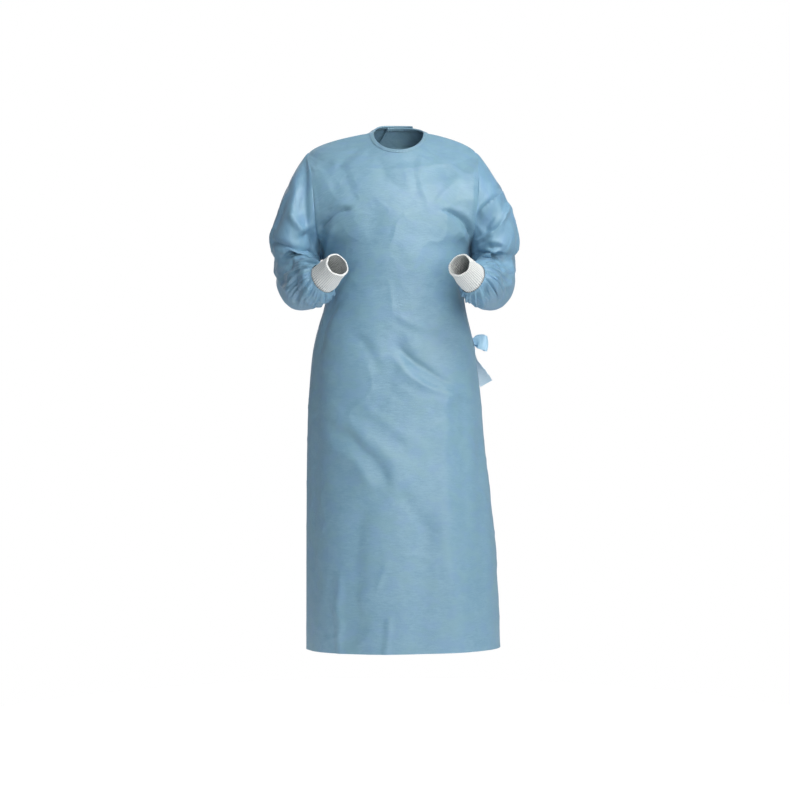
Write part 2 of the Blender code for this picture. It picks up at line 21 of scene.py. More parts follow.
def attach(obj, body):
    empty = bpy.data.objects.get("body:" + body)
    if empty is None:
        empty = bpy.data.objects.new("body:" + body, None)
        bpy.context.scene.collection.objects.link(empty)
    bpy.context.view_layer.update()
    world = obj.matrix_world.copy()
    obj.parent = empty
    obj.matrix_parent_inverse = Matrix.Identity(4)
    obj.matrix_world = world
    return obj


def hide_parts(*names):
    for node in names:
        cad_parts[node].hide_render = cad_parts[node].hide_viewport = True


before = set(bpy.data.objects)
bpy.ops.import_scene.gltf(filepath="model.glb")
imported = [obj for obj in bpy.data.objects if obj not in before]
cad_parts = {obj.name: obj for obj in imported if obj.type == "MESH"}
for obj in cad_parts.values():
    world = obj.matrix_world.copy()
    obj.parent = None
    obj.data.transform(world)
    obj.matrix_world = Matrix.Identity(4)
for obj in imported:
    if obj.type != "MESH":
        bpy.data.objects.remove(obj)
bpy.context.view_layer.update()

# %% [markdown]
# ## Camera
#
# The photograph was taken from far away and from about hip height, so the gown's verticals stay vertical. A
# camera that looks straight along +Y with no tilt keeps them so. At the gown a pixel is 2.4 mm wide, and the
# lens follows from that and from the distance. The camera is the first thing to be put in the scene.

# %% Camera
PICTURE = 790
PIXEL = 0.0024
DISTANCE = 4.5
SENSOR = 36.0


def put_in_scene(name, data):
    """A new object with this data, linked into the scene."""
    made = bpy.data.objects.new(name, data)
    bpy.context.scene.collection.objects.link(made)
    return made


lens = bpy.data.cameras.new("camera")
lens.sensor_width = SENSOR
lens.lens = SENSOR * DISTANCE / (PICTURE * PIXEL)
lens.clip_end = 100
camera = put_in_scene("camera", lens)
camera.location = (-0.0084, -DISTANCE, -0.631)
camera.rotation_euler = (math.pi / 2, 0, 0)
bpy.context.scene.camera = camera
print("lens", round(lens.lens, 1), "mm")

# %% [markdown]
# ## The cut
#
# A pattern cutter works from a few measured lines, and so does this gown. `SECTIONS` holds the body's outline
# at thirteen heights from hem to neck, and `STATIONS` the sleeve's outline at eleven places from armhole to
# cuff. They are the plain model's own numbers. Reading them through a smooth curve gives as many rows of
# points as the folds need, and the result still lies where the plain model does.

# %% Body sections
Section = namedtuple(
    "Section",
    "name steps z_seam z_front z_back right left seam open_front open_back front back"
    " squareness round_front round_back turn inner_edge outer_edge",
)
SECTIONS = [
    Section("hem", 4, -1.236, -1.228, -1.236, -0.222, 0.247, 0.0, 0.0, 0.0, -0.190, 0.170,
            2.3, 2.0, 2.0, 9, 0.34, 0.93),
    Section("knee", 3, -0.960, -0.960, -0.960, -0.221, 0.230, 0.0, 0.0, 0.0, -0.176, 0.160,
            2.3, 2.0, 2.0, 7, 0.34, 0.93),
    Section("thigh", 2, -0.760, -0.760, -0.760, -0.219, 0.208, 0.0, 0.0, 0.0, -0.163, 0.152,
            2.3, 2.0, 2.0, 5, 0.34, 0.93),
    Section("hip", 1, -0.620, -0.620, -0.620, -0.214, 0.195, 0.0, 0.0, 0.0, -0.152, 0.144,
            2.3, 2.0, 2.0, 3, 0.34, 0.93),
    Section("belt", 2, -0.532, -0.532, -0.532, -0.206, 0.184, 0.0, 0.0, 0.0, -0.145, 0.131,
            2.3, 2.0, 2.0, 2, 0.35, 0.92),
    Section("waist", 2, -0.400, -0.400, -0.400, -0.174, 0.158, 0.005, 0.0, 0.0, -0.142, 0.112,
            2.3, 2.0, 2.0, 0, 0.37, 0.84),
    Section("underarm", 3, -0.305, -0.307, -0.305, -0.180, 0.169, 0.010, 0.0, 0.0, -0.150, 0.122,
            2.3, 1.9, 1.9, 0, 0.38, 0.76),
    Section("low_arm", 4, -0.250, -0.257, -0.247, -0.193, 0.178, 0.005, 0.070, 0.060, -0.150, 0.129,
            2.3, 1.3, 1.4, 0, 0.38, 0.73),
    Section("mid_arm", 4, -0.175, -0.200, -0.175, -0.200, 0.186, 0.002, 0.090, 0.082, -0.141, 0.131,
            2.3, 1.1, 1.2, 0, 0.38, 0.71),
    Section("high_arm", 3, -0.100, -0.150, -0.100, -0.208, 0.188, 0.004, 0.062, 0.058, -0.123, 0.123,
            2.3, 1.1, 1.2, 0, 0.37, 0.69),
    Section("shoulder", 4, -0.049, -0.106, -0.044, -0.215, 0.186, 0.008, 0.0, 0.0, -0.101, 0.108,
            2.2, 1.4, 1.4, 0, 0.37, 0.67),
    Section("neck_base", 1, -0.006, -0.078, -0.005, -0.096, 0.090, 0.010, 0.0, 0.0, -0.082, 0.090,
            2.1, 1.8, 1.8, 0, 0.36, 0.66),
    Section("neck", 0, 0.000, -0.051, 0.020, -0.061, 0.061, 0.012, 0.0, 0.0, -0.064, 0.072,
            2.1, 2.0, 2.0, 0, 0.36, 0.66),
]

# %% Sleeve stations
Station = namedtuple(
    "Station", "name steps x y z left_x left_out swing bend yaw out inner front back square gather"
)
STATIONS = [
    Station("armhole", 2, 0.004, 0.006, -0.178, 0.006, -0.004, 8, 0, 0,
            0.130, 0.125, 0.090, 0.082, 2.0, 0.0),
    Station("head", 2, 0.026, 0.003, -0.204, 0.004, -0.016, 20, 0, 0,
            0.096, 0.112, 0.092, 0.086, 2.1, 0.0),
    Station("cap", 3, 0.048, -0.002, -0.243, 0.002, -0.001, 36, 0, 0,
            0.062, 0.092, 0.094, 0.088, 2.1, 0.0),
    Station("upper_arm", 3, 0.055, -0.006, -0.293, 0.000, -0.004, 60, 6, 0,
            0.060, 0.066, 0.092, 0.088, 2.1, 0.0),
    Station("elbow_top", 3, 0.049, -0.013, -0.326, 0.000, 0.000, 78, 22, 4,
            0.046, 0.050, 0.086, 0.094, 2.1, 0.0),
    Station("elbow", 3, 0.035, -0.040, -0.345, 0.003, 0.000, 90, 60, 10,
            0.055, 0.045, 0.052, 0.088, 2.1, 0.0),
    Station("elbow_low", 3, 0.022, -0.080, -0.365, 0.004, 0.000, 90, 84, 16,
            0.056, 0.050, 0.058, 0.066, 2.0, 0.0),
    Station("forearm", 3, 0.006, -0.124, -0.370, 0.006, 0.000, 92, 92, 24,
            0.056, 0.051, 0.055, 0.057, 2.0, 0.4),
    Station("blouse", 2, -0.010, -0.167, -0.371, 0.010, 0.000, 92, 98, 34,
            0.054, 0.050, 0.050, 0.053, 2.0, 1.0),
    Station("gather", 2, -0.021, -0.190, -0.369, 0.014, 0.000, 92, 106, 41,
            0.047, 0.043, 0.044, 0.047, 2.0, 1.1),
    Station("cuff_seam", 0, -0.028, -0.205, -0.364, 0.014, 0.000, 92, 112, 44,
            0.036, 0.036, 0.036, 0.036, 2.0, 0.5),
]

# %% [markdown]
# A table is read at any height with a curve that passes through its rows. Points on an outline are then
# spread evenly by walking along it, as a tape measure would.

# %% Reading the tables
def unit(vectors):
    return vectors / np.maximum(np.linalg.norm(vectors, axis=-1, keepdims=True), 1e-12)


def smooth(t):
    t = np.clip(t, 0, 1)
    return t * t * (3 - 2 * t)


def spline(knots, values, at):
    """A smooth curve through values at knots, read at other places."""
    knots, values, at = (np.asarray(a, float) for a in (knots, values, at))
    slopes = np.gradient(values, knots)
    i = np.clip(np.searchsorted(knots, at, side="right") - 1, 0, len(knots) - 2)
    step = knots[i + 1] - knots[i]
    t = (at - knots[i]) / step
    rise = smooth(t)
    start = values[i] * (1 - rise) + slopes[i] * step * t * (1 - t) ** 2
    return start + values[i + 1] * rise - slopes[i + 1] * step * t * t * (1 - t)


def read(rows, level):
    """Every column of a table, read at a level that lies between its rows."""
    knots = np.cumsum([0] + [row.steps for row in rows[:-1]])
    names = [name for name in rows[0]._fields if name not in ("name", "steps")]
    return {name: spline(knots, [getattr(row, name) for row in rows], level) for name in names}


def place_of(rows, name):
    """The level of a table's row, counted in steps from the first one."""
    names = [row.name for row in rows]
    return sum(row.steps for row in rows[: names.index(name)])


def walked(line):
    """How far along a line each of its points is."""
    return np.concatenate([[0], np.cumsum(np.linalg.norm(np.diff(line, axis=0), axis=1))])


def resample(line, shares):
    """Points of a line at these shares of its length."""
    along = walked(line)
    at = np.asarray(shares) * along[-1]
    return np.stack([np.interp(at, along, line[:, k]) for k in range(3)], axis=1)


# %% Body rows
LINE_POINTS = 361
INNER_START, OUTER_COLUMNS, BACK_COLUMNS = 5, 12, 15
UNDERARM, SHOULDER = place_of(SECTIONS, "underarm"), place_of(SECTIONS, "shoulder")


def body_line(level, side, shares):
    """Points of the body's outline at a level, from the wearer's right edge to the left one."""
    get = read(SECTIONS, level)
    across = np.sin(np.linspace(-math.pi / 2, math.pi / 2, LINE_POINTS))
    bulge = (1 - np.abs(across) ** get["squareness"]) ** (1 / get["round_" + side])
    edge = get["seam"]
    if UNDERARM < level < SHOULDER:
        edge += get["open_" + side] * (-1 if side == "front" else 1)
    x = (get["left"] + get["right"]) / 2 + (get["left"] - get["right"]) / 2 * across
    y = edge + (get[side] - edge) * bulge
    z = get["z_seam"] + (get["z_" + side] - get["z_seam"]) * bulge
    turn = math.radians(get["turn"])
    line = [x * math.cos(turn) - y * math.sin(turn), x * math.sin(turn) + y * math.cos(turn), z]
    return resample(np.stack(line, axis=1), shares)


def back_shares(level, columns):
    get = read(SECTIONS, level)
    marks = [0, INNER_START, OUTER_COLUMNS, BACK_COLUMNS]
    return np.interp(columns, marks, [0, get["inner_edge"], get["outer_edge"], 1])


# %% [markdown]
# Rows and columns about 5 mm apart are fine enough for a crease and coarse enough to stay light. The whole
# levels of the table stay among the rows, because the sleeves are joined on at those.

# %% Fine body grids
ROW_STEP = 0.0052
FRONT_FINE = 124
BACK_FINE = 8


def fine_levels():
    whole = np.arange(place_of(SECTIONS, "neck") + 1)
    shares = np.linspace(0, 1, 13)
    coarse = [np.array([body_line(n, side, shares) for n in whole]) for side in ("front", "back")]
    reach = np.concatenate(coarse, axis=1)
    steps = np.linalg.norm(np.diff(reach, axis=0), axis=2).max(axis=1)
    counts = np.maximum(np.ceil(steps / ROW_STEP).astype(int), 2)
    rows = [np.linspace(n, n + 1, count, endpoint=False) for n, count in zip(whole, counts)]
    return np.append(np.concatenate(rows), whole[-1])


levels = fine_levels()
back_columns = np.arange(BACK_COLUMNS * BACK_FINE + 1) / BACK_FINE
front = np.array([body_line(n, "front", np.arange(FRONT_FINE + 1) / FRONT_FINE) for n in levels])
back = np.array([body_line(n, "back", back_shares(n, back_columns)) for n in levels])
print("front grid", front.shape[:2], "back grid", back.shape[:2])

# %% [markdown]
# ## Sleeves
#
# A sleeve starts on the armhole's own points and goes over into oval rings. The rings lean out from the
# shoulder, fold forward at the elbow and turn in towards the chest. Near the wrist the cloth is gathered
# into the cuff, so the rings ripple there. Waves of a few lengths that don't divide each other give pleats
# that are never quite the same.

# %% Sleeve rings
SLEEVE_FINE = 6
PLEAT_HEIGHT = 0.0021
PLEATS = [(13, 0.9, 1.0), (19, 2.3, 0.7), (31, 0.4, 0.45), (7, 1.7, 0.5)]


def pleats(around, level, side):
    """The height of the gathers: a sum of waves as (number around the wrist, turn, share)."""
    total = np.zeros_like(around)
    for count, turn, share in PLEATS:
        total += share * np.cos(2 * math.pi * count * around + turn * (1 + 0.6 * side) + 0.11 * count * level)
    return total


def sleeve_ring(level, around, root):
    """One oval ring of a sleeve whose armhole is root metres from the middle, right being negative."""
    get = read(STATIONS, level)
    swing, bend, yaw = (math.radians(get[k]) for k in ("swing", "bend", "yaw"))
    out = np.array([math.sin(swing), 0, math.cos(swing)])
    ahead = np.array([0, -1.0, 0])
    ahead = ahead * math.cos(bend) - np.cross(out, ahead) * math.sin(bend)
    turn = np.array([[math.cos(yaw), math.sin(yaw), 0], [-math.sin(yaw), math.cos(yaw), 0], [0, 0, 1]])
    out, ahead = turn @ out, turn @ ahead
    c, s = -np.cos(2 * math.pi * around), np.sin(2 * math.pi * around)
    power = 2 / get["square"]
    c, s = np.sign(c) * np.abs(c) ** power, np.sign(s) * np.abs(s) ** power
    seam = place_of(STATIONS, "cuff_seam")
    height = PLEAT_HEIGHT * max(get["gather"], 0) * pleats(around, level, np.sign(root))
    height *= smooth((seam - level) / 1.1)
    swell = 1 + height / get["out"]
    reach_c = c * np.where(c > 0, get["out"] + (get["left_out"] if root > 0 else 0), get["inner"]) * swell
    reach_s = s * np.where(s > 0, get["front"], get["back"]) * swell
    centre = np.array([get["x"] + (get["left_x"] if root > 0 else 0), get["y"], get["z"]])
    ring = centre + reach_c[:, None] * out + reach_s[:, None] * ahead
    return ring * [math.copysign(1, root), 1, 1] + [root, 0, 0]


def doubled(values):
    """A closed ring of values with one more halfway between each two."""
    halfway = (values + np.roll(values, -1, axis=0)) / 2
    return np.stack([values, halfway], axis=1).reshape(-1, *values.shape[1:])


def sleeve(front_edge, back_edge, arm_levels):
    """Rings from the two edges of an armhole to the cuff's seam."""
    armhole = doubled(np.concatenate([front_edge[:-1], back_edge[:0:-1]]))
    share = (arm_levels - UNDERARM) / (SHOULDER - UNDERARM) / 2
    around = np.concatenate([share[:-1], 1 - share[:0:-1]])
    around = np.stack([around, (around + np.append(around[1:], 1)) / 2], axis=1).reshape(-1)
    blend_end = place_of(STATIONS, "head")
    last = place_of(STATIONS, "cuff_seam")
    rings = []
    for level in np.arange(last * SLEEVE_FINE + 1) / SLEEVE_FINE:
        part = smooth(level / blend_end)
        rings.append(armhole * (1 - part) + sleeve_ring(level, around, armhole[:, 0].mean()) * part)
    return np.array(rings)


arm = np.flatnonzero((levels >= UNDERARM - 1e-9) & (levels <= SHOULDER + 1e-9))
sleeves = {
    "sleeve_right": sleeve(front[arm, 0], back[arm, 0], levels[arm]),
    "sleeve_left": sleeve(front[arm, -1], back[arm, -1], levels[arm]),
}
print("sleeve grid", sleeves["sleeve_left"].shape[:2])

# %% [markdown]
# ## Folds
#
# Nonwoven cloth is a little stiff. It makes long soft troughs where it is pulled between two points, and
# crisp creases where it is pushed together. Each fold is one row of a table: the piece it is on, the side it
# is seen from, where it starts and ends, how far it bows, its width and height, how much wider one flank is,
# how crisp its crest is, and how deep the hollow beside it is. A smooth bell across the line, faded at both
# ends, turns a row into a fold. No two rows have the same length, depth or spacing.

# %% The fold table
Fold = namedtuple("Fold", "piece view x0 z0 x1 z1 bow width height lean crisp hollow")
FOLDS = []


def add_folds(piece, view, rows):
    """Rows of x0 z0 x1 z1 bow width height in millimetres, then lean, crisp and hollow."""
    FOLDS.extend(Fold(piece, view, *(size / 1000 for size in row[:7]), *row[7:]) for row in rows)


# The plain model's own large folds
add_folds("front", "front", [
    (-5, -500, 105, -632, 10, 26, -6, 0.2, 2, 0),
    (-10, -560, 130, -650, 12, 30, 7, 0, 2, 0),
    (-160, -690, 20, -830, -12, 40, 7, 0.2, 2, 0),
    (-145, -140, -185, -300, 12, 22, -3.4, 0.3, 2, 0),
    (110, -185, 172, -290, -14, 22, -5, -0.3, 2, 0),
])
add_folds("back", "back", [
    (-140, -330, 60, -420, 10, 30, 7, 0.2, 2, 0),
    (150, -300, -20, -400, -8, 28, 6, 0, 2, 0),
    (-120, -560, -150, -1100, 15, 45, 10, 0, 2, 0),
    (20, -600, 35, -1180, -10, 45, 9, 0.2, 2, 0),
])
add_folds("sleeve_right", "front", [
    (-306, -268, -190, -300, 4, 13, -6.2, 0.3, 2, 0),
    (-300, -292, -225, -322, 4, 16, 4.5, 0, 2, 0),
    (-252, -205, -224, -255, 2, 14, 6, 0, 2, 0),
])
add_folds("sleeve_left", "front", [
    (285, -300, 180, -290, -6, 13, -5.6, -0.3, 2, 0),
    (252, -150, 195, -210, 3, 15, 7, 0, 2, 0),
    (262, -185, 214, -265, 4, 15, 6, 0.2, 2, 0),
])
# Chest: soft pulls from the neckline and the shoulders
add_folds("front", "front", [
    (-194, -85, -148, -176, 4, 15, 2.2, 0.2, 1.6, 0),
    (-134, -90, -97, -176, 3, 16, -2.2, 0.2, 1.7, 0),
    (-94, -48, -146, -100, 4, 10, -1.9, 0.2, 1.5, 0.3),
    (-78, -46, -118, -92, 3, 11, 1.3, 0, 1.7, 0),
    (-46, -70, 3, -157, 6, 14, -2.1, 0.2, 1.6, 0),
    (10, -75, 26, -160, -3, 12, 1.4, 0, 1.7, 0),
    (32, -68, 44, -150, -3, 10, -1.7, 0, 1.6, 0),
    (52, -60, 64, -170, 4, 12, 2, 0.2, 1.6, 0),
    (90, -50, 118, -126, -4, 13, -2.4, 0.2, 1.6, 0),
    (128, -75, 136, -140, -2, 10, 1.4, 0, 1.6, 0),
    (124, -138, 92, -190, 3, 8, 2, 0.3, 1.4, 0.4),
    (146, -130, 134, -182, 2, 10, -1.4, 0, 1.6, 0),
    (182, -95, 178, -200, 3, 9, 1.9, 0.2, 1.5, 0),
    (-20, -190, 30, -330, 8, 26, 1.9, 0, 2, 0),
    (-75, -170, -60, -300, -6, 22, -1.4, 0, 2, 0),
    # Below the armholes: deep curved drags with a lip above each
    (-117, -198, -190, -240, 6, 10, -8.5, 0.5, 1.4, 0.5),
    (108, -201, 176, -296, -26, 9, -10, -0.5, 1.4, 0.5),
    (-150, -240, -180, -330, 8, 10, 5, 0, 1.5, 0),
    (148, -245, 168, -335, -6, 10, 5, 0, 1.5, 0),
    (-112, -330, -176, -450, 8, 14, -6, 0.3, 1.5, 0.3),
    (-143, -415, -192, -530, 6, 12, -5, 0.3, 1.5, 0.3),
    (128, -340, 168, -455, -6, 13, -5, -0.3, 1.5, 0.3),
    # Belly and skirt: long shallow pulls
    (0, -456, 100, -484, 4, 10, 4.2, 0.3, 1.4, 0.5),
    (56, -470, 140, -506, 4, 13, -3.6, 0, 1.6, 0),
    (0, -520, 122, -604, 6, 11, -6.2, 0.4, 1.4, 0.5),
    (-10, -552, 100, -634, 8, 12, 4.2, 0.3, 1.5, 0.3),
    (22, -592, 142, -636, 5, 9, 4, 0.3, 1.4, 0.4),
    (110, -600, 116, -920, 5, 18, 4.2, 0, 1.8, 0),
    (148, -620, 160, -960, -5, 16, -3.4, 0, 1.8, 0),
    (-110, -490, -40, -570, -6, 16, -3.6, 0, 1.7, 0),
    (-150, -704, -18, -836, -8, 18, -6, 0.3, 1.6, 0.2),
    (-156, -745, -58, -850, -6, 18, 4.6, 0.2, 1.7, 0),
    (-85, -660, 60, -760, -8, 18, 2.6, 0.2, 1.7, 0.2),
    (10, -860, 90, -960, 8, 22, -3.4, 0, 1.8, 0),
    (-138, -1053, -131, -1246, 4, 10, 4.6, 0.3, 1.4, 0.4),
    (-30, -1017, -47, -1081, 0, 8, 2.2, 0, 1.6, 0),
    (-18, -1142, -31, -1246, 3, 8, 4.2, 0.3, 1.4, 0.4),
    (112, -900, 145, -1240, 6, 26, 6, 0, 1.9, 0),
    (52, -900, 60, -1240, -6, 30, -5, 0, 1.9, 0),
    (-85, -900, -94, -1240, 8, 26, -5, 0.2, 1.9, 0),
    (180, -560, 196, -1060, -6, 18, -4.4, 0, 1.8, 0),
    (-190, -560, -196, -1120, 6, 18, -4, 0, 1.8, 0),
])

# %% Folds on the right sleeve
# The trough beside the armhole, the bright ridge next to it and the pocket below
add_folds("sleeve_right", "front", [
    (-223, -70, -214, -240, 2, 10, -8.5, 0.2, 1.6, 0),
    (-240, -140, -250, -212, 2, 10, 3.6, 0.2, 1.5, 0),
    (-254, -206, -206, -250, 7, 8, 4, 0.3, 1.3, 0.6),
    (-214, -244, -182, -296, 0, 15, -15, 0.2, 1.5, 0),
    (-276, -100, -292, -226, 4, 16, -4.6, 0, 1.7, 0),
    (-232, -110, -236, -200, 0, 7, -4, 0, 1.4, 0),
    # The elbow: a long crease, a bright band under it and a zigzag below that
    (-306, -267, -178, -304, 5, 6, -4.6, 0.3, 1.2, 0.6),
    (-300, -279, -186, -313, 5, 8, 4.6, 0, 1.5, 0),
    (-272, -346, -246, -318, 2, 6, -5.6, 0.3, 1.3, 0.6),
    (-236, -318, -182, -324, 3, 6, -3.6, 0.3, 1.3, 0.5),
    (-230, -327, -184, -322, -5, 7, 5.2, 0, 1.4, 0),
    (-226, -338, -186, -326, -4, 6, -4.8, 0, 1.4, 0),
    # Below the elbow: pleats that run down to the blouse of the sleeve
    (-274, -350, -288, -402, -3, 8, -6.2, 0.2, 1.4, 0.4),
    (-250, -346, -256, -412, 3, 10, 5.6, 0, 1.5, 0),
    (-234, -345, -230, -420, 4, 8, -6.6, 0.2, 1.4, 0.4),
    (-215, -350, -206, -424, 3, 8, 4.4, 0, 1.5, 0),
    (-258, -300, -212, -312, 0, 10, 5, 0, 1.7, 0),
])
# The side and the back of the sleeve
add_folds("sleeve_right", "back", [
    (-300, -180, -225, -250, 6, 12, -7, 0.3, 1.5, 0.4),
    (-310, -250, -230, -280, -4, 12, -5, 0.2, 1.5, 0.4),
    (-300, -330, -235, -300, 6, 11, 6, 0.2, 1.5, 0.5),
    (-250, -60, -228, -180, 4, 12, -6, 0, 1.7, 0),
    (-262, -100, -250, -200, 4, 12, 5, 0, 1.6, 0),
])
add_folds("sleeve_right", "right", [
    (60, -110, 30, -260, 6, 14, -6, 0.2, 1.5, 0.4),
    (16, -130, 4, -250, 4, 10, 4.6, 0, 1.5, 0),
    (-50, -150, -20, -280, 5, 12, 4.6, 0, 1.5, 0.4),
    (70, -290, -30, -318, 6, 12, -4.4, 0.2, 1.5, 0.4),
    (64, -310, 0, -345, 6, 11, 3.2, 0.2, 1.5, 0.4),
    (50, -360, -40, -350, 4, 11, -3.6, 0.2, 1.5, 0.4),
    (-60, -320, -150, -345, 6, 10, -5, 0, 1.5, 0.4),
    (-80, -370, -160, -385, -4, 9, 4, 0, 1.5, 0.4),
])

# %% Folds on the left sleeve
# Two crisp creases that fall towards the crook
add_folds("sleeve_left", "front", [
    (248, -144, 190, -201, 0, 5.5, 5.4, 0.3, 1.2, 0.9),
    (232, -136, 186, -182, 1, 8, -4, 0, 1.4, 0),
    (258, -180, 212, -260, -10, 6, 5.4, 0.2, 1.2, 0.9),
    (222, -246, 184, -268, -2, 6, 6, 0.2, 1.2, 0.6),
    (236, -200, 204, -244, 3, 8, -5.2, 0, 1.4, 0),
    (270, -180, 280, -262, 3, 10, 4.4, 0.2, 1.5, 0.4),
    (222, -80, 208, -150, 2, 10, -3.6, 0, 1.6, 0),
    # The eye of cloth in the crook: an upper lid, a pocket and a lower lid
    (187, -286, 250, -277, -10, 7, 4.6, 0, 1.4, 0),
    (212, -283, 242, -282, 0, 6, -4, 0, 1.4, 0),
    (190, -291, 256, -289, 5, 6, 3, 0, 1.4, 0),
    # The long dark crease below it and the shorter ones towards the cuff
    (168, -292, 212, -302, 0, 6, -7.4, -0.2, 1.3, 0.4),
    (200, -300, 270, -342, -8, 7, -6.6, -0.3, 1.3, 0.6),
    (200, -312, 252, -345, -6, 8, 5.6, 0, 1.4, 0),
    (205, -324, 230, -316, 0, 5, -4.2, 0, 1.3, 0),
    (225, -315, 246, -345, -4, 5, -7.2, 0.2, 1.2, 0.5),
    (196, -352, 202, -404, 3, 6, -5.2, 0.2, 1.3, 0.4),
    (222, -356, 232, -412, 3, 8, 5, 0, 1.5, 0),
    (244, -352, 262, -396, 3, 8, -5.6, 0, 1.4, 0.4),
    (212, -301, 252, -304, 0, 9, 5, 0, 1.7, 0),
])
# The side and the back of the sleeve
add_folds("sleeve_left", "back", [
    (285, -170, 215, -240, -6, 12, -7, 0.2, 1.5, 0.4),
    (290, -265, 205, -275, 5, 12, -5, 0.2, 1.5, 0.4),
    (280, -335, 215, -300, -5, 11, 6, 0.2, 1.5, 0.5),
    (226, -70, 208, -190, -4, 12, -5.6, 0, 1.7, 0),
    (244, -110, 232, -200, -4, 12, 5, 0, 1.6, 0),
])
add_folds("sleeve_left", "left", [
    (58, -110, 34, -250, 6, 14, -6, 0.2, 1.5, 0.4),
    (14, -120, 2, -240, 4, 10, 4.6, 0, 1.5, 0),
    (-48, -160, -22, -285, 4, 12, 4.6, 0, 1.5, 0.4),
    (66, -285, -34, -312, 5, 12, -4, 0.2, 1.5, 0.4),
    (60, -305, -4, -340, 5, 11, 3, 0.2, 1.5, 0.4),
    (48, -358, -40, -346, 4, 11, -3.4, 0.2, 1.5, 0.4),
    (-62, -316, -146, -340, 6, 10, -5, 0, 1.5, 0.4),
    (-84, -366, -160, -380, -4, 9, 4, 0, 1.5, 0.4),
])

# %% Folds on the back
add_folds("back", "back", [
    (182, -505, 70, -450, 6, 13, -5.6, 0.2, 1.5, 0.4),
    (180, -520, 40, -530, 8, 12, 4.6, 0.2, 1.5, 0.4),
    (178, -540, 75, -610, -8, 13, -5.6, 0, 1.5, 0.4),
    (172, -550, 120, -680, -6, 14, 4.4, 0, 1.6, 0.3),
    (-185, -500, -60, -520, -6, 14, -4.4, 0.2, 1.6, 0.3),
    (-150, -460, 10, -490, 6, 16, 4, 0.2, 1.6, 0.3),
    (-170, -230, -90, -300, 10, 14, -6, 0.3, 1.5, 0.4),
    (150, -215, 75, -295, -10, 14, -6, 0.3, 1.5, 0.4),
    (-60, -60, -110, -200, 6, 18, -4, 0, 1.7, 0),
    (60, -70, 95, -200, -6, 18, -4, 0, 1.7, 0),
    (4, -90, -10, -260, 4, 20, 3.4, 0, 1.8, 0),
    (-45, -640, -58, -1200, 12, 30, -5.6, 0.2, 1.9, 0),
    (110, -700, 130, -1210, -10, 30, -5.6, 0, 1.9, 0),
    (-10, -940, -4, -1225, 4, 12, 4, 0.3, 1.5, 0.4),
    (-170, -900, -176, -1225, 4, 14, 4.4, 0.3, 1.5, 0.4),
    (-120, -700, 10, -800, 8, 18, 4, 0.2, 1.7, 0),
])
print(len(FOLDS), "folds")

# %% [markdown]
# A fold moves each point along the cloth's own outward direction. Where two pieces meet at a seam the
# direction is halfway between them, and the folds fade out, so the seam stays closed.

# %% Outward directions and folding
def face_corners(rows, columns):
    """The row and the column of each corner of the faces between rows and columns of points."""
    r, c = np.meshgrid(np.arange(rows - 1), np.arange(columns), indexing="ij")
    corner_rows = np.stack([r, r, r + 1, r + 1], axis=-1).reshape(-1, 4)
    return corner_rows, np.stack([c, c + 1, c + 1, c], axis=-1).reshape(-1, 4)


def quads_of(shape, around=False):
    rows, columns = shape
    r, c = face_corners(rows, columns if around else columns - 1)
    return r * columns + c % columns


def shared_normals(grids):
    """Outward directions of {name: (points, around, flip)}, halfway between the pieces at their seams."""
    points = np.concatenate([grid.reshape(-1, 3) for grid, _, _ in grids.values()])
    _, group = np.unique(np.round(points, 6), axis=0, return_inverse=True)
    group = group.reshape(-1)
    total = np.zeros((group.max() + 1, 3))
    parts, start = {}, 0
    for name, (grid, around, flip) in grids.items():
        size = grid.shape[0] * grid.shape[1]
        parts[name] = group[start : start + size]
        start += size
        own_points = grid.reshape(-1, 3)
        quads = quads_of(grid.shape[:2], around)
        a, b, c, d = (own_points[quads[:, k]] for k in range(4))
        area = np.cross(c - a, d - b) * (-1 if flip else 1)
        own = np.zeros_like(total)
        for k in range(4):
            np.add.at(own, parts[name][quads[:, k]], area)
        total += unit(own)
    total = unit(total)
    return {name: total[parts[name]].reshape(grids[name][0].shape) for name in grids}


# The axis that runs sideways as seen from a side, the axis towards the viewer, and its sign
VIEWS = {"front": (0, 1, -1), "back": (0, 1, 1), "right": (1, 0, -1), "left": (1, 0, 1)}
END_FADE = 0.3
HOLLOW_AWAY = 1.5


def fold_heights(name, grid, normals, drift):
    """How far the table's folds lift each point of a piece, with their lines bent by drift."""
    total = np.zeros(grid.shape[:2])
    for row in FOLDS:
        if row.piece != name:
            continue
        sideways, facing_axis, sign = VIEWS[row.view]
        x, z = grid[..., sideways] + drift[0], grid[..., 2] + drift[1]
        facing = normals[..., facing_axis] * sign
        along = np.array([row.x1 - row.x0, row.z1 - row.z0])
        length = np.hypot(*along)
        along = along / length
        t = ((x - row.x0) * along[0] + (z - row.z0) * along[1]) / length
        aside = (x - row.x0) * along[1] - (z - row.z0) * along[0] - row.bow * 4 * t * (1 - t)
        width = row.width * np.where(aside > 0, 1 + row.lean, 1 - row.lean)
        bell = np.exp(-(np.abs(aside / width) ** row.crisp))
        side = np.sign(row.lean) or 1
        hollow = np.exp(-((aside * side / row.width - HOLLOW_AWAY) ** 2))
        ends = smooth(t / END_FADE + 0.5) * smooth((1 - t) / END_FADE + 0.5)
        total += row.height * (bell - row.hollow * hollow) * ends * smooth(facing * 2)
    return total


# %% [markdown]
# Between the folds of the table the cloth is never quite flat. Soft noise of two or three sizes, from 0.17 m
# across down to 0.024 m, puts a few millimetres of life into it. Folded noise, one minus its size, gives the
# thin sharp lines that nonwoven keeps once it has been crumpled. One more noise bends the folds of the
# table a little, so that none runs dead straight. All are read at each point's place in space, so the two
# back panels, one over the other, ripple together.

# %% Soft unevenness
def noise_values(points, size, seed):
    places = points.reshape(-1, 3) / size + seed
    return np.array([noise.noise(Vector(place)) for place in places]).reshape(points.shape[:2])


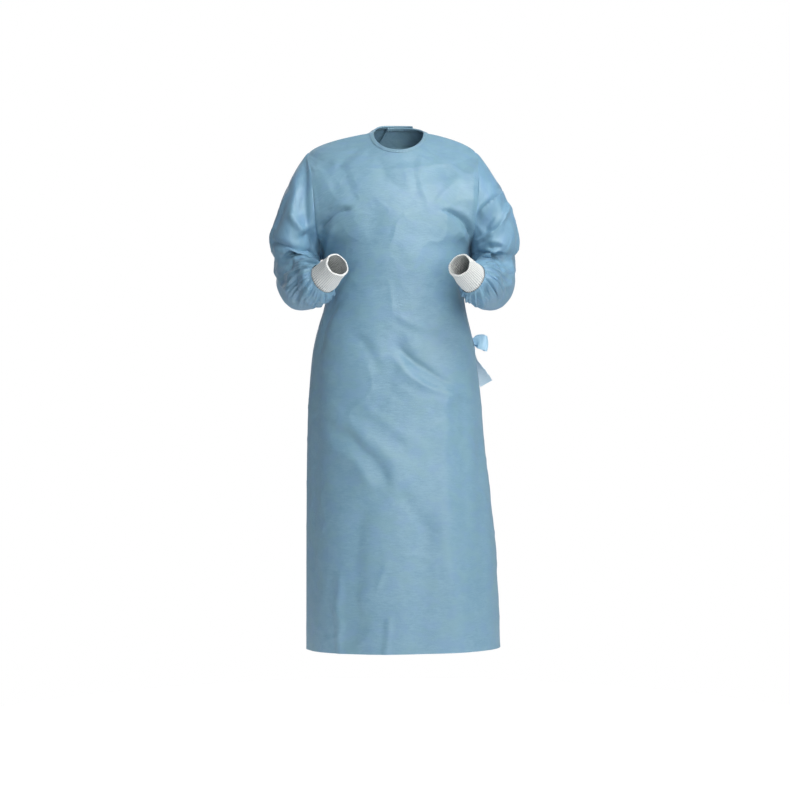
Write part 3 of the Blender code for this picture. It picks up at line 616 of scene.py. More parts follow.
def unevenness(points, soft, crumpled):
    """Noise heights at points, from rows of (size of a patch, height)."""
    total = np.zeros(points.shape[:2])
    for size, height in soft:
        total += height * noise_values(points, size, size * 100)
    for size, height in crumpled:
        line = 1 - np.minimum(np.abs(noise_values(points, size, size * 300)) * 5, 1)
        total += height * line**1.5 * np.clip(noise_values(points, size * 2.4, 7.7) * 2.5 + 0.35, 0, 1)
    return total


grids = {
    "front": (front, False, False),
    "back": (back, False, True),
    "sleeve_right": (sleeves["sleeve_right"], True, False),
    "sleeve_left": (sleeves["sleeve_left"], True, True),
}
# Of the sleeves and of the body: how far folds sway, and the rows of soft and of folded noise
Life = namedtuple("Life", "sway soft crumpled")
SLEEVE_LIFE = Life(0.002, [(0.09, 0.0030), (0.032, 0.0012)], [(0.055, 0.0016), (0.026, 0.0007)])
BODY_LIFE = Life(0.008, [(0.17, 0.0034), (0.055, 0.0014), (0.024, 0.0005)],
                 [(0.080, 0.0013), (0.038, 0.0006)])
# Where the heights fade out: columns next to a side seam, levels below the neckline, stations along a sleeve
SEAM_CALM = 5
NECK_CALM, NECK_FLAT = 1.6, 0.3
CAP_CALM, WRIST_CALM = 0.5, 2

normals = shared_normals(grids)
deepest = 0
for name, (grid, around, flip) in list(grids.items()):
    rows, columns = grid.shape[:2]
    is_sleeve = "sleeve" in name
    life = SLEEVE_LIFE if is_sleeve else BODY_LIFE
    drift = [life.sway * noise_values(grid, 0.06, seed) for seed in (31.3, 57.1)]
    heights = fold_heights(name, grid, normals[name], drift) + unevenness(grid, life.soft, life.crumpled)
    if is_sleeve:
        place = np.arange(rows) / SLEEVE_FINE
        heights *= (smooth(place / CAP_CALM) * smooth((place[-1] - place) / WRIST_CALM))[:, None]
    else:
        heights *= smooth((levels[-1] - NECK_FLAT - levels) / NECK_CALM)[:, None]
        inward = np.minimum(np.arange(columns), columns - 1 - np.arange(columns))
        heights *= smooth(inward / SEAM_CALM)[None]
    deepest = max(deepest, float(np.abs(heights).max()))
    grids[name] = (grid + normals[name] * heights[..., None], around, flip)
normals = shared_normals(grids)
front, back = grids["front"][0], grids["back"][0]
print("deepest fold", round(deepest * 1000, 1), "mm")

# %% [markdown]
# ## Finishes
#
# Shader maths reads best as plain sums. A small class wraps a node's output, so that `1 - mask` or
# `cloud * 0.4 + streak` adds the Math nodes by itself. Every other node comes from one method that takes the
# node's type, its settings and what goes into its sockets. Noise and bump have a shorter way of their own.

# %% Shader helpers
class Value:
    """An output socket in a finish, with arithmetic that adds Math nodes."""

    def __init__(self, finish, socket):
        self.finish = finish
        self.socket = socket

    def math(self, operation, first, second):
        return self.finish.add("ShaderNodeMath", {"operation": operation}, {0: first, 1: second})

    def __add__(self, other):
        return self.math("ADD", self, other)

    def __rsub__(self, other):
        return self.math("SUBTRACT", other, self)

    def __mul__(self, other):
        return self.math("MULTIPLY", self, other)


class Finish:
    """A material with one Principled shader, and the method that adds any other node."""

    def __init__(self, name, **constants):
        self.material = bpy.data.materials.new(name)
        self.material.use_nodes = True
        self.tree = self.material.node_tree
        self.shader = self.tree.nodes["Principled BSDF"]
        for socket, value in constants.items():
            self.shader.inputs[socket.replace("_", " ")].default_value = value

    def feed(self, socket, value):
        if isinstance(value, Value):
            self.tree.links.new(value.socket, socket)
        else:
            socket.default_value = value

    def add(self, kind, settings=None, sockets=None, out=0):
        made = self.tree.nodes.new(kind)
        for name, value in (settings or {}).items():
            setattr(made, name, value)
        for name, value in (sockets or {}).items():
            self.feed(made.inputs[name], value)
        return Value(self, made.outputs[out])

    def mix(self, share, first, second):
        return self.add("ShaderNodeMix", {"data_type": "RGBA"}, {0: share, 6: first, 7: second}, out=2)

    def range(self, value, low, high, to_low=0.0, to_high=1.0):
        return self.add("ShaderNodeMapRange", {"interpolation_type": "SMOOTHSTEP"},
                        {0: value, 1: low, 2: high, 3: to_low, 4: to_high})

    def noise(self, place, scale, detail, **more):
        return self.add("ShaderNodeTexNoise", {}, {"Vector": place, "Scale": scale, "Detail": detail, **more})

    def bump(self, strength, distance, height):
        return self.add("ShaderNodeBump", {}, {"Strength": strength, "Distance": distance, "Height": height})

    def surface(self, **links):
        for socket, value in links.items():
            self.feed(self.shader.inputs[socket.replace("_", " ")], value)


def rgba(red, green, blue):
    return (red, green, blue, 1.0)


# %% [markdown]
# ### Nonwoven cloth
#
# Surgical nonwoven is a felt of very fine filaments, pressed between rollers. Up close it has rows of tiny
# bond points. From a step away it looks clouded, because the filaments lie denser in some places, and those
# clouds are drawn out along the width of the roll. So the colour is a mix of a wide cloud, a narrow one and
# long streaks, all laid out on the flat cut in metres, and the bump has the streaks and the bond points. The
# sleeves' finish is a little bluer than the panels': that is painted shade, standing for the blue shade in
# the folds of the sleeves.

# %% Nonwoven cloth
CUT = "cut"


def noise_at(finish, place, scale, wide, seed, detail=3.0):
    """Noise over the flat cut, drawn out sideways where wide is less than one."""
    where = finish.add("ShaderNodeVectorMath", {"operation": "MULTIPLY_ADD"},
                       {0: place, 1: (wide, 1.0, 1.0), 2: (seed, seed * 0.7, seed * 0.3)})
    return finish.noise(where, scale, detail, Roughness=0.55)


def nonwoven(name, dark, light, green, blue, roughness):
    cloth = Finish(name, Roughness=roughness, Sheen_Weight=0.06, Sheen_Roughness=0.5, Specular_IOR_Level=0.70)
    cut = cloth.add("ShaderNodeUVMap", {"uv_map": CUT})
    cloud = noise_at(cloth, cut, 11.0, 0.8, 3.1)
    patch = noise_at(cloth, cut, 52.0, 0.6, 8.7)
    streak = noise_at(cloth, cut, 270.0, 0.25, 1.9, detail=2.0)
    fibre = noise_at(cloth, cut, 760.0, 0.4, 5.3, detail=2.0)
    tone = cloud * 0.16 + patch * 0.26 + streak * 0.34 + fibre * 0.24
    base = cloth.mix(cloth.range(tone, 0.36, 0.64), dark, light)
    greener = cloth.range(noise_at(cloth, cut, 24.0, 0.8, 12.4), 0.46, 0.66)
    bluer = cloth.range(noise_at(cloth, cut, 31.0, 0.8, 21.7), 0.48, 0.66)
    base = cloth.mix(greener * 0.55, base, green)
    base = cloth.mix(bluer * 0.55, base, blue)
    dots = cloth.add("ShaderNodeTexVoronoi", {"feature": "F1"},
                     {"Vector": cut, "Scale": 520.0, "Randomness": 0.12})
    bond = cloth.range(dots, 0.18, 0.42)
    height = bond * 0.30 + streak + fibre * 0.8 + patch * 1.3
    bump = cloth.bump(0.32, 0.0012, height)
    rough = cloth.range(streak, 0.3, 0.7, roughness - 0.05, roughness + 0.05)
    cloth.surface(Base_Color=base, Roughness=rough, Normal=bump)
    return cloth.material


cloth_finish = nonwoven("blue nonwoven cloth", rgba(0.132, 0.272, 0.382), rgba(0.180, 0.326, 0.440),
                        rgba(0.162, 0.310, 0.384), rgba(0.152, 0.284, 0.440), 0.47)
# Painted shade: the sleeves' colours are bluer than the panels', standing for the blue shade in their folds.
sleeve_painted_shade_finish = nonwoven("blue nonwoven cloth of the sleeves", rgba(0.124, 0.270, 0.405),
                         rgba(0.170, 0.326, 0.468), rgba(0.154, 0.310, 0.412), rgba(0.144, 0.284, 0.464),
                         0.47)
# Painted light: the strips are coloured far paler than the panels, to lift them out of the shade they lie in
# and to stand for light shining through them.
tie_painted_light_finish = nonwoven("pale nonwoven strip", rgba(0.360, 0.600, 0.800), rgba(0.460, 0.700, 0.880),
                      rgba(0.420, 0.670, 0.820), rgba(0.380, 0.630, 0.880), 0.48)
# Painted light: the loose ends are paler still, standing for light shining through a single hanging layer.
tie_end_painted_light_finish = nonwoven("pale reverse of the strip", rgba(0.540, 0.700, 0.820), rgba(0.640, 0.780, 0.880),
                      rgba(0.600, 0.750, 0.830), rgba(0.560, 0.720, 0.880), 0.48)
binding_finish = nonwoven("folded nonwoven binding", rgba(0.138, 0.270, 0.372), rgba(0.180, 0.318, 0.420),
                          rgba(0.164, 0.300, 0.370), rgba(0.156, 0.280, 0.420), 0.48)
print("nonwoven finishes made")

# %% [markdown]
# ### Rib knit and thread
#
# The cuffs are knitted from white yarn. Their ribs are in the mesh, because they show in the outline. The
# small V of each stitch is a bump: a zigzag that repeats once a rib around and every 1.5 mm along. The
# yarn's colour is darkened in the valleys between the ribs and where the stitches' bump is low: that is
# painted shade.

# %% Rib knit and thread
CUFF_RIBS = 42
STITCH_LENGTH = 0.0015


def rib_knit():
    knit = Finish("white rib knit", Roughness=0.9, Sheen_Weight=0.35, Sheen_Roughness=0.5)
    cut = knit.add("ShaderNodeUVMap", {"uv_map": CUT})
    around = knit.add("ShaderNodeSeparateXYZ", {}, {0: cut})
    along = Value(knit, around.socket.node.outputs[1])
    rib = knit.add("ShaderNodeMath", {"operation": "PINGPONG"}, {0: around, 1: 0.5})
    loop = knit.add("ShaderNodeMath", {"operation": "SINE"},
                    {0: (along * (1 / STITCH_LENGTH) + rib * 0.9) * (2 * math.pi)})
    fuzz = knit.noise(cut, 900.0, 2.0)
    bump = knit.bump(0.5, 0.0005, loop * 0.5 + fuzz * 0.4)
    # Painted shade: the yarn is darker in the valleys between the ribs and where a stitch's bump is low.
    crest = 1 - knit.range(rib, 0.10, 0.42)
    shade = knit.range(loop, -0.9, 0.9) * 0.2 + fuzz * 0.25 + crest * 0.6
    colour = knit.mix(shade, rgba(0.44, 0.48, 0.50), rgba(0.84, 0.85, 0.84))
    knit.surface(Base_Color=colour, Normal=bump)
    return knit.material


def thread(name, dark, light):
    yarn = Finish(name, Roughness=0.6, Sheen_Weight=0.2)
    places = yarn.add("ShaderNodeTexCoord", {}, {}, out=3)
    twist = yarn.noise(places, 1800.0, 1.0)
    yarn.surface(Base_Color=yarn.mix(twist, dark, light), Normal=yarn.bump(0.3, 0.0002, twist))
    return yarn.material


knit_finish = rib_knit()
thread_finish = thread("blue thread", rgba(0.20, 0.36, 0.47), rgba(0.30, 0.47, 0.58))
print("knit and thread finishes made")

# %% [markdown]
# ## Panels
#
# Each cut piece is a thin shell: its outer points, the same points moved inwards by the cloth's thickness,
# and a narrow rim between them. Next to its points the shell keeps a flat layout in metres, measured along
# its own rows and columns. The finishes read that layout, so the streaks run across the cloth as they do on
# a cut panel, whichever way it is folded.

# %% Shells from grids
CLOTH = 0.0006
ROOT = "root"


def flat_layout(outer, around):
    """Distances in metres along each row from its middle, and up each column from its first point."""
    closed = np.concatenate([outer, outer[:, :1]], axis=1) if around else outer
    across = np.linalg.norm(np.diff(closed, axis=1), axis=2)
    u = np.concatenate([np.zeros((len(closed), 1)), np.cumsum(across, axis=1)], axis=1)
    u -= u[:, u.shape[1] // 2, None]
    up = np.linalg.norm(np.diff(closed, axis=0), axis=2)
    v = np.concatenate([np.zeros((1, closed.shape[1])), np.cumsum(up, axis=0)], axis=0)
    return np.stack([u, v], axis=-1)


def add_mesh(name, points, faces, finish, layout=None, sharp=50):
    """A smooth mesh object, with edges left sharp where faces meet at more than sharp degrees."""
    mesh = bpy.data.meshes.new(name)
    mesh.from_pydata(np.asarray(points).tolist(), [], faces if isinstance(faces, list) else faces.tolist())
    if layout is not None:
        mesh.uv_layers.new(name=CUT).data.foreach_set("uv", np.asarray(layout).reshape(-1))
    mesh.materials.append(finish)
    mesh.shade_smooth()
    mesh.set_sharp_from_angle(angle=math.radians(sharp))
    return put_in_scene(name, mesh)


def shell(name, outer, directions, finish, thick=CLOTH, around=False, flip=False, layout=None):
    """A thin wall under a grid of outer points, open or closed around, with a rim along its edges."""
    rows, columns = outer.shape[:2]
    inner = outer - directions * thick
    layout = flat_layout(outer, around) if layout is None else layout
    r, c = face_corners(rows, columns if around else columns - 1)
    skin = r * columns + c % columns
    faces, places = [skin, skin[:, ::-1] + rows * columns], [layout[r, c], layout[r, c][:, ::-1]]
    span = np.arange(columns + 1 if around else columns)
    edges = [(span * 0, span), (span[::-1] * 0 + rows - 1, span[::-1])]
    if not around:
        climb = np.arange(rows)
        edges += [(climb[::-1], climb * 0), (climb, climb * 0 + columns - 1)]
    for er, ec in edges:
        index = er * columns + ec % columns
        under = index + rows * columns
        faces.append(np.stack([index[1:], index[:-1], under[:-1], under[1:]], -1))
        at = layout[er, ec]
        places.append(np.stack([at[1:], at[:-1], at[:-1], at[1:]], axis=1))
    faces, places = np.concatenate(faces), np.concatenate(places)
    if flip:
        faces, places = faces[:, ::-1], places[:, ::-1]
    points = np.concatenate([outer.reshape(-1, 3), inner.reshape(-1, 3)])
    return add_mesh(name, points, faces, finish, places)


def area_of(grid, around=False):
    points, quads = grid.reshape(-1, 3), quads_of(grid.shape[:2], around)
    a, b, c, d = (points[quads[:, k]] for k in range(4))
    return float(np.linalg.norm(np.cross(c - a, d - b), axis=1).sum() / 2)


def fit_on(piece, slot, *nodes):
    """The piece rides on the gown's one body and stands for its plain nodes, which are hidden. The slot
    argument is not used.
    """
    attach(piece, ROOT)
    if nodes:
        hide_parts(*nodes)
    return piece


# %% [markdown]
# ### Front, backs and sleeves
#
# The front is cut as one wide trapezium with a scooped neck and two armholes. The areas printed below are
# those of the folded grids. The back panel of the wearer's right side wraps over the left one, standing a few
# millimetres off it. At its free edge the cloth stands away a little more, as a cut edge does.

# %% Front
front_piece = fit_on(shell("front_panel", front, normals["front"], cloth_finish), "cloth", "front")
print("front", round(area_of(front), 3), "m2")

# %% Backs
LAP = 0.0035
NECK_LAP = 0.0085
EDGE_FLARE = 0.007
EDGE_SETTLE = 0.0019


def lap_offset(columns):
    """How far the outer back panel stands off the body at each row of the grid and at these columns."""
    rise = smooth(columns / INNER_START)
    neck_base = place_of(SECTIONS, "neck_base")
    neck = smooth((levels - SHOULDER) / (neck_base - SHOULDER))
    height = LAP + (NECK_LAP - LAP) * neck
    belt, thigh = place_of(SECTIONS, "belt"), place_of(SECTIONS, "thigh")
    low = smooth(1 - np.abs(levels - (belt + thigh) / 2 - 0.5) / (belt - thigh))
    flare = EDGE_FLARE * low[:, None] * smooth((columns - OUTER_COLUMNS + 2) / 2)
    settle = EDGE_SETTLE * ((1 - low) * (1 - neck))[:, None] * smooth(columns - OUTER_COLUMNS + 1)
    return height[:, None] * rise + flare - settle


outer_span = slice(0, OUTER_COLUMNS * BACK_FINE + 1)
inner_span = slice(INNER_START * BACK_FINE, None)
lap = lap_offset(back_columns[outer_span])
outer_normals = normals["back"][:, outer_span]
lapped = back[:, outer_span] + outer_normals * lap[..., None]
outer_panel = shell("back_outer_panel", lapped, outer_normals, cloth_finish, flip=True)
inner_normals = normals["back"][:, inner_span]
inner_panel = shell("back_inner_panel", back[:, inner_span], inner_normals, cloth_finish, flip=True)
outer_piece = fit_on(outer_panel, "cloth", "back_outer")
inner_piece = fit_on(inner_panel, "cloth", "back_inner")
print("backs", round(area_of(lapped), 3), "and", round(area_of(back[:, inner_span]), 3), "m2")

# %% Sleeves
for name in ("sleeve_right", "sleeve_left"):
    grid, around, flip = grids[name]
    piece = shell(name + "_panel", grid, normals[name], sleeve_painted_shade_finish, around=True, flip=flip)
    fit_on(piece, "cloth", name)
    print(name, round(area_of(grid, True), 3), "m2")

# %% [markdown]
# ### Cuffs
#
# A cuff is a short knitted tube. Its ribs stand up as round ridges, its open end is the fold of the doubled
# knit, and its other end goes up inside the gathered sleeve.

# %% Cuffs
CUFF_LENGTH = 0.066
CUFF_TUCK = 0.006
CUFF_END_RADIUS = 0.029
CUFF_WALL = 0.0015
RIB_HEIGHT = 0.0015
RIB_POINTS = 6
CUFF_ROWS = 34


def cuff(name, ring, nearer):
    """A ribbed tube from the sleeve's last ring, pointing away from a ring nearer to the shoulder."""
    centre = ring.mean(axis=0)
    axis = unit(centre - nearer.mean(axis=0))
    side = unit(np.cross(axis, [0, 0, 1.0]))
    up = np.cross(side, axis)
    start_radius = np.linalg.norm(ring - centre, axis=1).min() - CLOTH - 0.0004
    count = CUFF_RIBS * RIB_POINTS
    angle = 2 * math.pi * np.arange(count) / count
    spokes = np.cos(angle)[:, None] * side + np.sin(angle)[:, None] * up
    rib = RIB_HEIGHT * np.abs(np.cos(CUFF_RIBS * angle / 2)) ** 0.8
    along = np.linspace(0, 1, CUFF_ROWS)
    # The last points turn in over the folded end.
    fold = np.linspace(0, math.pi / 2, 6)[1:]
    shares = np.concatenate([along, 1 + np.sin(fold) * CUFF_WALL / (CUFF_LENGTH + CUFF_TUCK)])
    inset = np.concatenate([along * 0, (1 - np.cos(fold)) * (CUFF_WALL + RIB_HEIGHT) * 0.8])
    outer = []
    for share, turn_in in zip(shares, inset):
        place = centre + axis * (share * (CUFF_LENGTH + CUFF_TUCK) - CUFF_TUCK)
        radius = start_radius + (CUFF_END_RADIUS - start_radius) * smooth(share)
        wave = 0.0006 * np.sin(3 * angle + 9 * share) + 0.0004 * np.sin(7 * angle - 5 * share)
        rise = rib * (1 - turn_in / (CUFF_WALL + RIB_HEIGHT)) - RIB_HEIGHT
        outer.append(place + spokes * (radius + rise + wave - turn_in)[:, None])
    outer = np.array(outer)
    layout = flat_layout(outer, True)
    layout[..., 0] = np.arange(count + 1) / RIB_POINTS
    outward = np.broadcast_to(spokes, outer.shape)
    return shell(name + "_knit", outer, outward, knit_finish, thick=CUFF_WALL * 0.55, around=True, flip=True,
                 layout=layout)


for side in ("right", "left"):
    grid = grids["sleeve_" + side][0]
    fit_on(cuff("cuff_" + side, grid[-1], grid[-1 - SLEEVE_FINE]), "knit", "cuff_" + side)
print("cuffs made")

# %% [markdown]
# ### Neck binding
#
# The neckline's raw edge is wrapped in a narrow strip. In section the strip is a flat loop, rounded over the
# top and turned under at both lower edges, so it casts a thin shadow on the panels. It follows the neckline
# from the inner back's free edge round the front and back to the outer panel's free edge.

# %% Neck binding
BINDING_WIDTH = 0.0088
BINDING_WALL = 0.0008
BINDING_GAP = 0.0004
BINDING_BELOW = 3


def tube(name, rings, finish):
    """A closed solid through rings of points, with flat ends."""
    rows, columns = rings.shape[:2]
    r, c = face_corners(rows, columns)
    layout = flat_layout(rings, True)
    faces = (r * columns + c % columns).tolist()
    places = list(layout[r, c].reshape(-1, 2))
    faces += [list(range(columns))[::-1], [(rows - 1) * columns + k for k in range(columns)]]
    places += list(layout[0, :columns][::-1]) + list(layout[-1, :columns])
    return add_mesh(name, rings.reshape(-1, 3), faces, finish, places, sharp=60)


def binding_path():
    """The neckline, its outward directions, and the points a little below it."""
    n = normals["back"]
    start, edge = INNER_START * BACK_FINE, OUTER_COLUMNS * BACK_FINE + 1
    below = -1 - BINDING_BELOW
    tops = [
        (back[-1, start:], n[-1, start:], back[below, start:]),
        (front[-1, -2:0:-1], normals["front"][-1, -2:0:-1], front[below, -2:0:-1]),
        (lapped[-1], n[-1, :edge], lapped[below]),
    ]
    return (np.concatenate([top[k] for top in tops]) for k in range(3))


def neck_binding():
    """The strip's section, as (below the neckline, out of the cloth) pairs, swept along the neckline."""
    edge, normal, below = binding_path()
    down = unit(below - edge)
    out = unit(normal - down * (normal * down).sum(axis=1, keepdims=True))
    g, w, t = BINDING_GAP, BINDING_WALL, CLOTH + 0.001
    reach = BINDING_WIDTH
    outside = [(reach, g), (reach + 0.0004, g + w * 0.6), (reach - 0.0006, g + w * 1.25)]
    outside += [(reach - 0.0022, g + w), (reach * 0.5, g + w * 1.25), (0.001, g + w * 1.1)]
    arch = [(-g - w * math.sin(a), (g + w + t / 2) * math.cos(a) - t / 2)
            for a in np.linspace(0.15, math.pi - 0.15, 7)]
    inside = [(0.001, -t - g - w * 1.1), (reach * 0.5, -t - g - w * 1.25)]
    inside += [(reach - 0.0006, -t - g - w * 1.25), (reach, -t - g)]
    back_way = [(0.0, -t - g * 0.6), (-g * 0.5, -t / 2), (0.0, g * 0.6)]
    profile = outside + arch + inside + back_way
    walk = walked(edge)
    ripple = 0.00022 * np.sin(walk * 2 * math.pi / 0.0071) + 0.00018 * np.sin(walk * 2 * math.pi / 0.0047 + 1)
    rings = []
    for a, b in profile:
        lift = ripple * (1 if b > 0 else -1) * (a > 0.0005)
        rings.append(edge + down * a + out * (b + lift)[:, None])
    return tube("neck_binding_strip", np.stack(rings, axis=1), binding_finish)


binding_piece = fit_on(neck_binding(), "cloth", "neck_binding")
print("binding", len(binding_piece.data.vertices), "points")

# %% [markdown]
# ### Patches and straps
#
# A patch that lies on a panel is made from that panel's points, moved out, so it follows every fold under
# it. A strap is a strip swept along a smooth line. It is never flat: it cups across its width, and its long
# edges wander a little.

# %% Patches
def row_of(level):
    """The row of the fine grids, whole or between two, at a level of the table."""
    return float(np.interp(level, levels, np.arange(len(levels))))


def between(grid, row, column):
    """A point of a grid at a row and a column that need not be whole."""
    i, j = min(int(row), grid.shape[0] - 2), min(int(column), grid.shape[1] - 2)
    u, v = row - i, column - j
    low = grid[i, j] * (1 - v) + grid[i, j + 1] * v
    high = grid[i + 1, j] * (1 - v) + grid[i + 1, j + 1] * v
    return low * (1 - u) + high * u


def patch_grid(rows, columns, lift):
    """Points and directions over the back at rows and back columns, lifted by lift(row, column)."""
    base = np.array([[between(back, r, c * BACK_FINE) for c in columns] for r in rows])
    out = unit(np.array([[between(normals["back"], r, c * BACK_FINE) for c in columns] for r in rows]))
    lifts = np.array([[lift(r, c) for c in columns] for r in rows])
    return base + out * lifts[..., None], out


def lap_at(row, column):
    return float(between(lap, row, min(column, OUTER_COLUMNS) * BACK_FINE))


# %% Neck tab
TAB_TOP = 0.013
TAB_TALL = 0.032
TAB_COLUMNS = (8.0, 13.0)
TAB_WALL = 0.0011
MIDDLE_COLUMN = 10


def tab_lift(row, column):
    drop = float(smooth(TAB_COLUMNS[1] - column))
    return lap_at(row, column) * drop + TAB_WALL + 0.0004


# How far each row of the back is below the neckline, walked along the middle column
below_neck = walked(back[::-1, MIDDLE_COLUMN * BACK_FINE])
drops = TAB_TOP + TAB_TALL * np.linspace(1, 0, 15)
tab_rows = len(levels) - 1 - np.interp(drops, below_neck, np.arange(len(levels)))
tab, tab_out = patch_grid(tab_rows, np.linspace(*TAB_COLUMNS, 41), tab_lift)
tab_patch = shell("neck_tab_patch", tab, tab_out, binding_finish, thick=TAB_WALL, flip=True)
tab_piece = fit_on(tab_patch, "cloth", "neck_tab")
print("tab", round(area_of(tab) * 1e4, 1), "cm2")

# %% Waist straps
BELT_ROWS = (0.04, 0.58)
TIE_WALL = 0.0008
belt = place_of(SECTIONS, "belt")
strap_low, strap_high = (row_of(belt + s) for s in BELT_ROWS)
STRAP_POINTS = 19
KNOT_COLUMN = 11.6
PINCH_REACH = 0.75
PINCHED = 0.34
KNOT_DEPTH = 0.0055
PLEAT = 0.0011
FRONT_STRAP_LIFTS = ((11.7, 12, 13, 14, 14.6), (0.0105, 0.0100, 0.0045, 0.0006, 0.0006))


def pinch(column):
    """How much of its width a strap keeps: it is gathered where it runs into the knot."""
    return PINCHED + (1 - PINCHED) * float(smooth((abs(column - KNOT_COLUMN) - 0.10) / PINCH_REACH))


def belt_strap(columns, base_lift, crown):
    """A strap along the belt line over these back columns, laid base_lift(row, column) off the back."""
    points, out = [], []
    middle = (strap_low + strap_high) / 2
    for share in np.linspace(-1, 1, STRAP_POINTS):
        for column in columns:
            kept = pinch(column)
            row = middle + share * (strap_high - strap_low) / 2 * kept
            gathered = (1 - kept) / (1 - PINCHED)
            pleat = PLEAT * gathered * math.cos(share * 3.5 * math.pi + column)
            base = base_lift(row, column)
            lift = base + TIE_WALL + crown * (1 - share**2) + pleat
            lift += gathered**2 * (KNOT_DEPTH - min(base - lap_at(row, column), KNOT_DEPTH))
            way = unit(between(normals["back"], row, column * BACK_FINE))
            points.append(between(back, row, column * BACK_FINE) + way * lift)
            out.append(way)
    shape = (STRAP_POINTS, len(columns), 3)
    return np.array(points).reshape(shape), np.array(out).reshape(shape)


def back_lift(row, column):
    return lap_at(row, column) + 0.0003


def front_lift(row, column):
    return float(np.interp(column, *FRONT_STRAP_LIFTS) + 0.0002)


strap_back, out_back = belt_strap(np.linspace(9.6, 11.50, 36), back_lift, 0.0016)
strap_front, out_front = belt_strap(np.linspace(11.70, 14.6, 50), front_lift, 0.0014)
tie_back = shell("tie_back_strip", strap_back, out_back, tie_painted_light_finish, TIE_WALL, flip=True)
tie_front = shell("tie_front_strip", strap_front, out_front, tie_painted_light_finish, TIE_WALL, flip=True)
fit_on(tie_back, "tie", "tie_back")
fit_on(tie_front, "tie", "tie_front")

# %% [markdown]
# ### The knot
#
# The two waist straps cross in a flat knot with one loop and two loose ends. The loop and the ends follow
# the plain model's points, measured from the knot's middle.

# %% Knot, loop and ends
KNOT_HALF_DEPTH = 0.0075
EDGE_WANDER = 0.0005
STRAP_CUP = 0.003
STRAP_STEPS = 16
TiePoint = namedtuple("TiePoint", "piece x y z width facing")
TIE_POINTS = [
    TiePoint("tie_loop", 0.0090, -0.0080, 0.003, 0.012, 20),
    TiePoint("tie_loop", 0.0220, -0.0130, 0.006, 0.030, 5),
    TiePoint("tie_loop", 0.0340, -0.0150, 0.001, 0.036, 10),
    TiePoint("tie_loop", 0.0420, -0.0090, -0.002, 0.036, 90),
    TiePoint("tie_loop", 0.0340, -0.0010, 0.000, 0.035, 170),
    TiePoint("tie_loop", 0.0210, 0.0010, 0.002, 0.027, 180),
    TiePoint("tie_loop", 0.0090, 0.0020, 0.003, 0.014, 190),
    TiePoint("tie_end_front", 0.0060, -0.0022, -0.0140, 0.010, 122),
    TiePoint("tie_end_front", 0.0110, 0.0060, -0.038, 0.022, 130),
    TiePoint("tie_end_front", 0.0215, 0.0130, -0.066, 0.034, 145),
    TiePoint("tie_end_front", 0.0425, 0.0180, -0.099, 0.036, 155),
    TiePoint("tie_end_back", -0.0010, 0.0040, -0.0150, 0.010, 122),
    TiePoint("tie_end_back", -0.0060, 0.0200, -0.045, 0.024, 135),
    TiePoint("tie_end_back", -0.0140, 0.0330, -0.090, 0.036, 145),
    TiePoint("tie_end_back", -0.0220, 0.0430, -0.150, 0.036, 150),
]


def own_normals(grid):
    return shared_normals({"own": (grid, False, False)})["own"]


def strip(name, line, across, widths, out, cup, finish):
    """A strip of cloth swept along a line: cup is the height of its middle at each point of the line."""
    share = np.linspace(-1, 1, 13)
    walk = walked(line)
    edge = EDGE_WANDER * (np.sin(walk * 310 + 1) + 0.6 * np.sin(walk * 720))
    grid = line[:, None] + across[:, None] * (share * (widths[:, None] / 2 + edge[:, None]))[..., None]
    pleat = 0.16 * np.cos(3.2 * math.pi * share) * smooth(1.4 - widths[:, None] / 0.025)
    bow = cup[:, None] * (1 - share**2) + 0.012 * pleat * smooth(walk * 60)[:, None]
    grid = grid + out[:, None] * bow[..., None]
    return shell(name, grid, own_normals(grid), finish, TIE_WALL), grid


def strap(piece, knot):
    """The loop or an end of the tie, through its rows of the table."""
    rows = [row for row in TIE_POINTS if row.piece == piece]
    knots = np.arange(len(rows))
    at = np.linspace(0, len(rows) - 1, STRAP_STEPS * (len(rows) - 1) + 1)
    get = {key: spline(knots, [getattr(row, key) for row in rows], at) for key in TiePoint._fields[1:]}
    line = np.stack([get["x"], get["y"], get["z"]], axis=1) + knot
    facing = np.radians(get["facing"])
    face = np.stack([np.sin(facing), -np.cos(facing), 0 * facing], axis=1)
    along = unit(np.gradient(line, axis=0))
    across = unit(np.cross(face, along))
    out = np.cross(along, across)
    depth = STRAP_CUP * np.sin(np.linspace(0.3, 2.6, len(line)))
    # The loop takes the strips' painted light, and the loose ends the paler painted light of their own
    # finish.
    finish = tie_painted_light_finish if piece == "tie_loop" else tie_end_painted_light_finish
    return strip(piece + "_strip", line, across, get["width"], out, depth, finish)


belt_row = (strap_low + strap_high) / 2
knot_column = KNOT_COLUMN * BACK_FINE
knot_out = unit(between(normals["back"], belt_row, knot_column))
knot_up = unit(between(back, row_of(belt + 1), knot_column) - between(back, row_of(belt), knot_column))
knot_side = unit(np.cross(knot_up, knot_out))
knot_out = np.cross(knot_side, knot_up)
knot_lift = lap_at(belt_row, KNOT_COLUMN) + KNOT_HALF_DEPTH + 0.0003
knot_middle = between(back, belt_row, knot_column) + knot_out * knot_lift
for name in ("tie_loop", "tie_end_front", "tie_end_back"):
    made, grid = strap(name, knot_middle)
    fit_on(made, "tie", name)
    print(name, round(area_of(grid) * 1e4, 1), "cm2")


# %% [markdown]
# The knot itself is two bands, one wrapped over the other. Each is a strip of the same cloth, swept once
# round an oval, and its creases pinch together where the knot is pulled tight.

# %% Knot bands
BAND_POINTS = 64


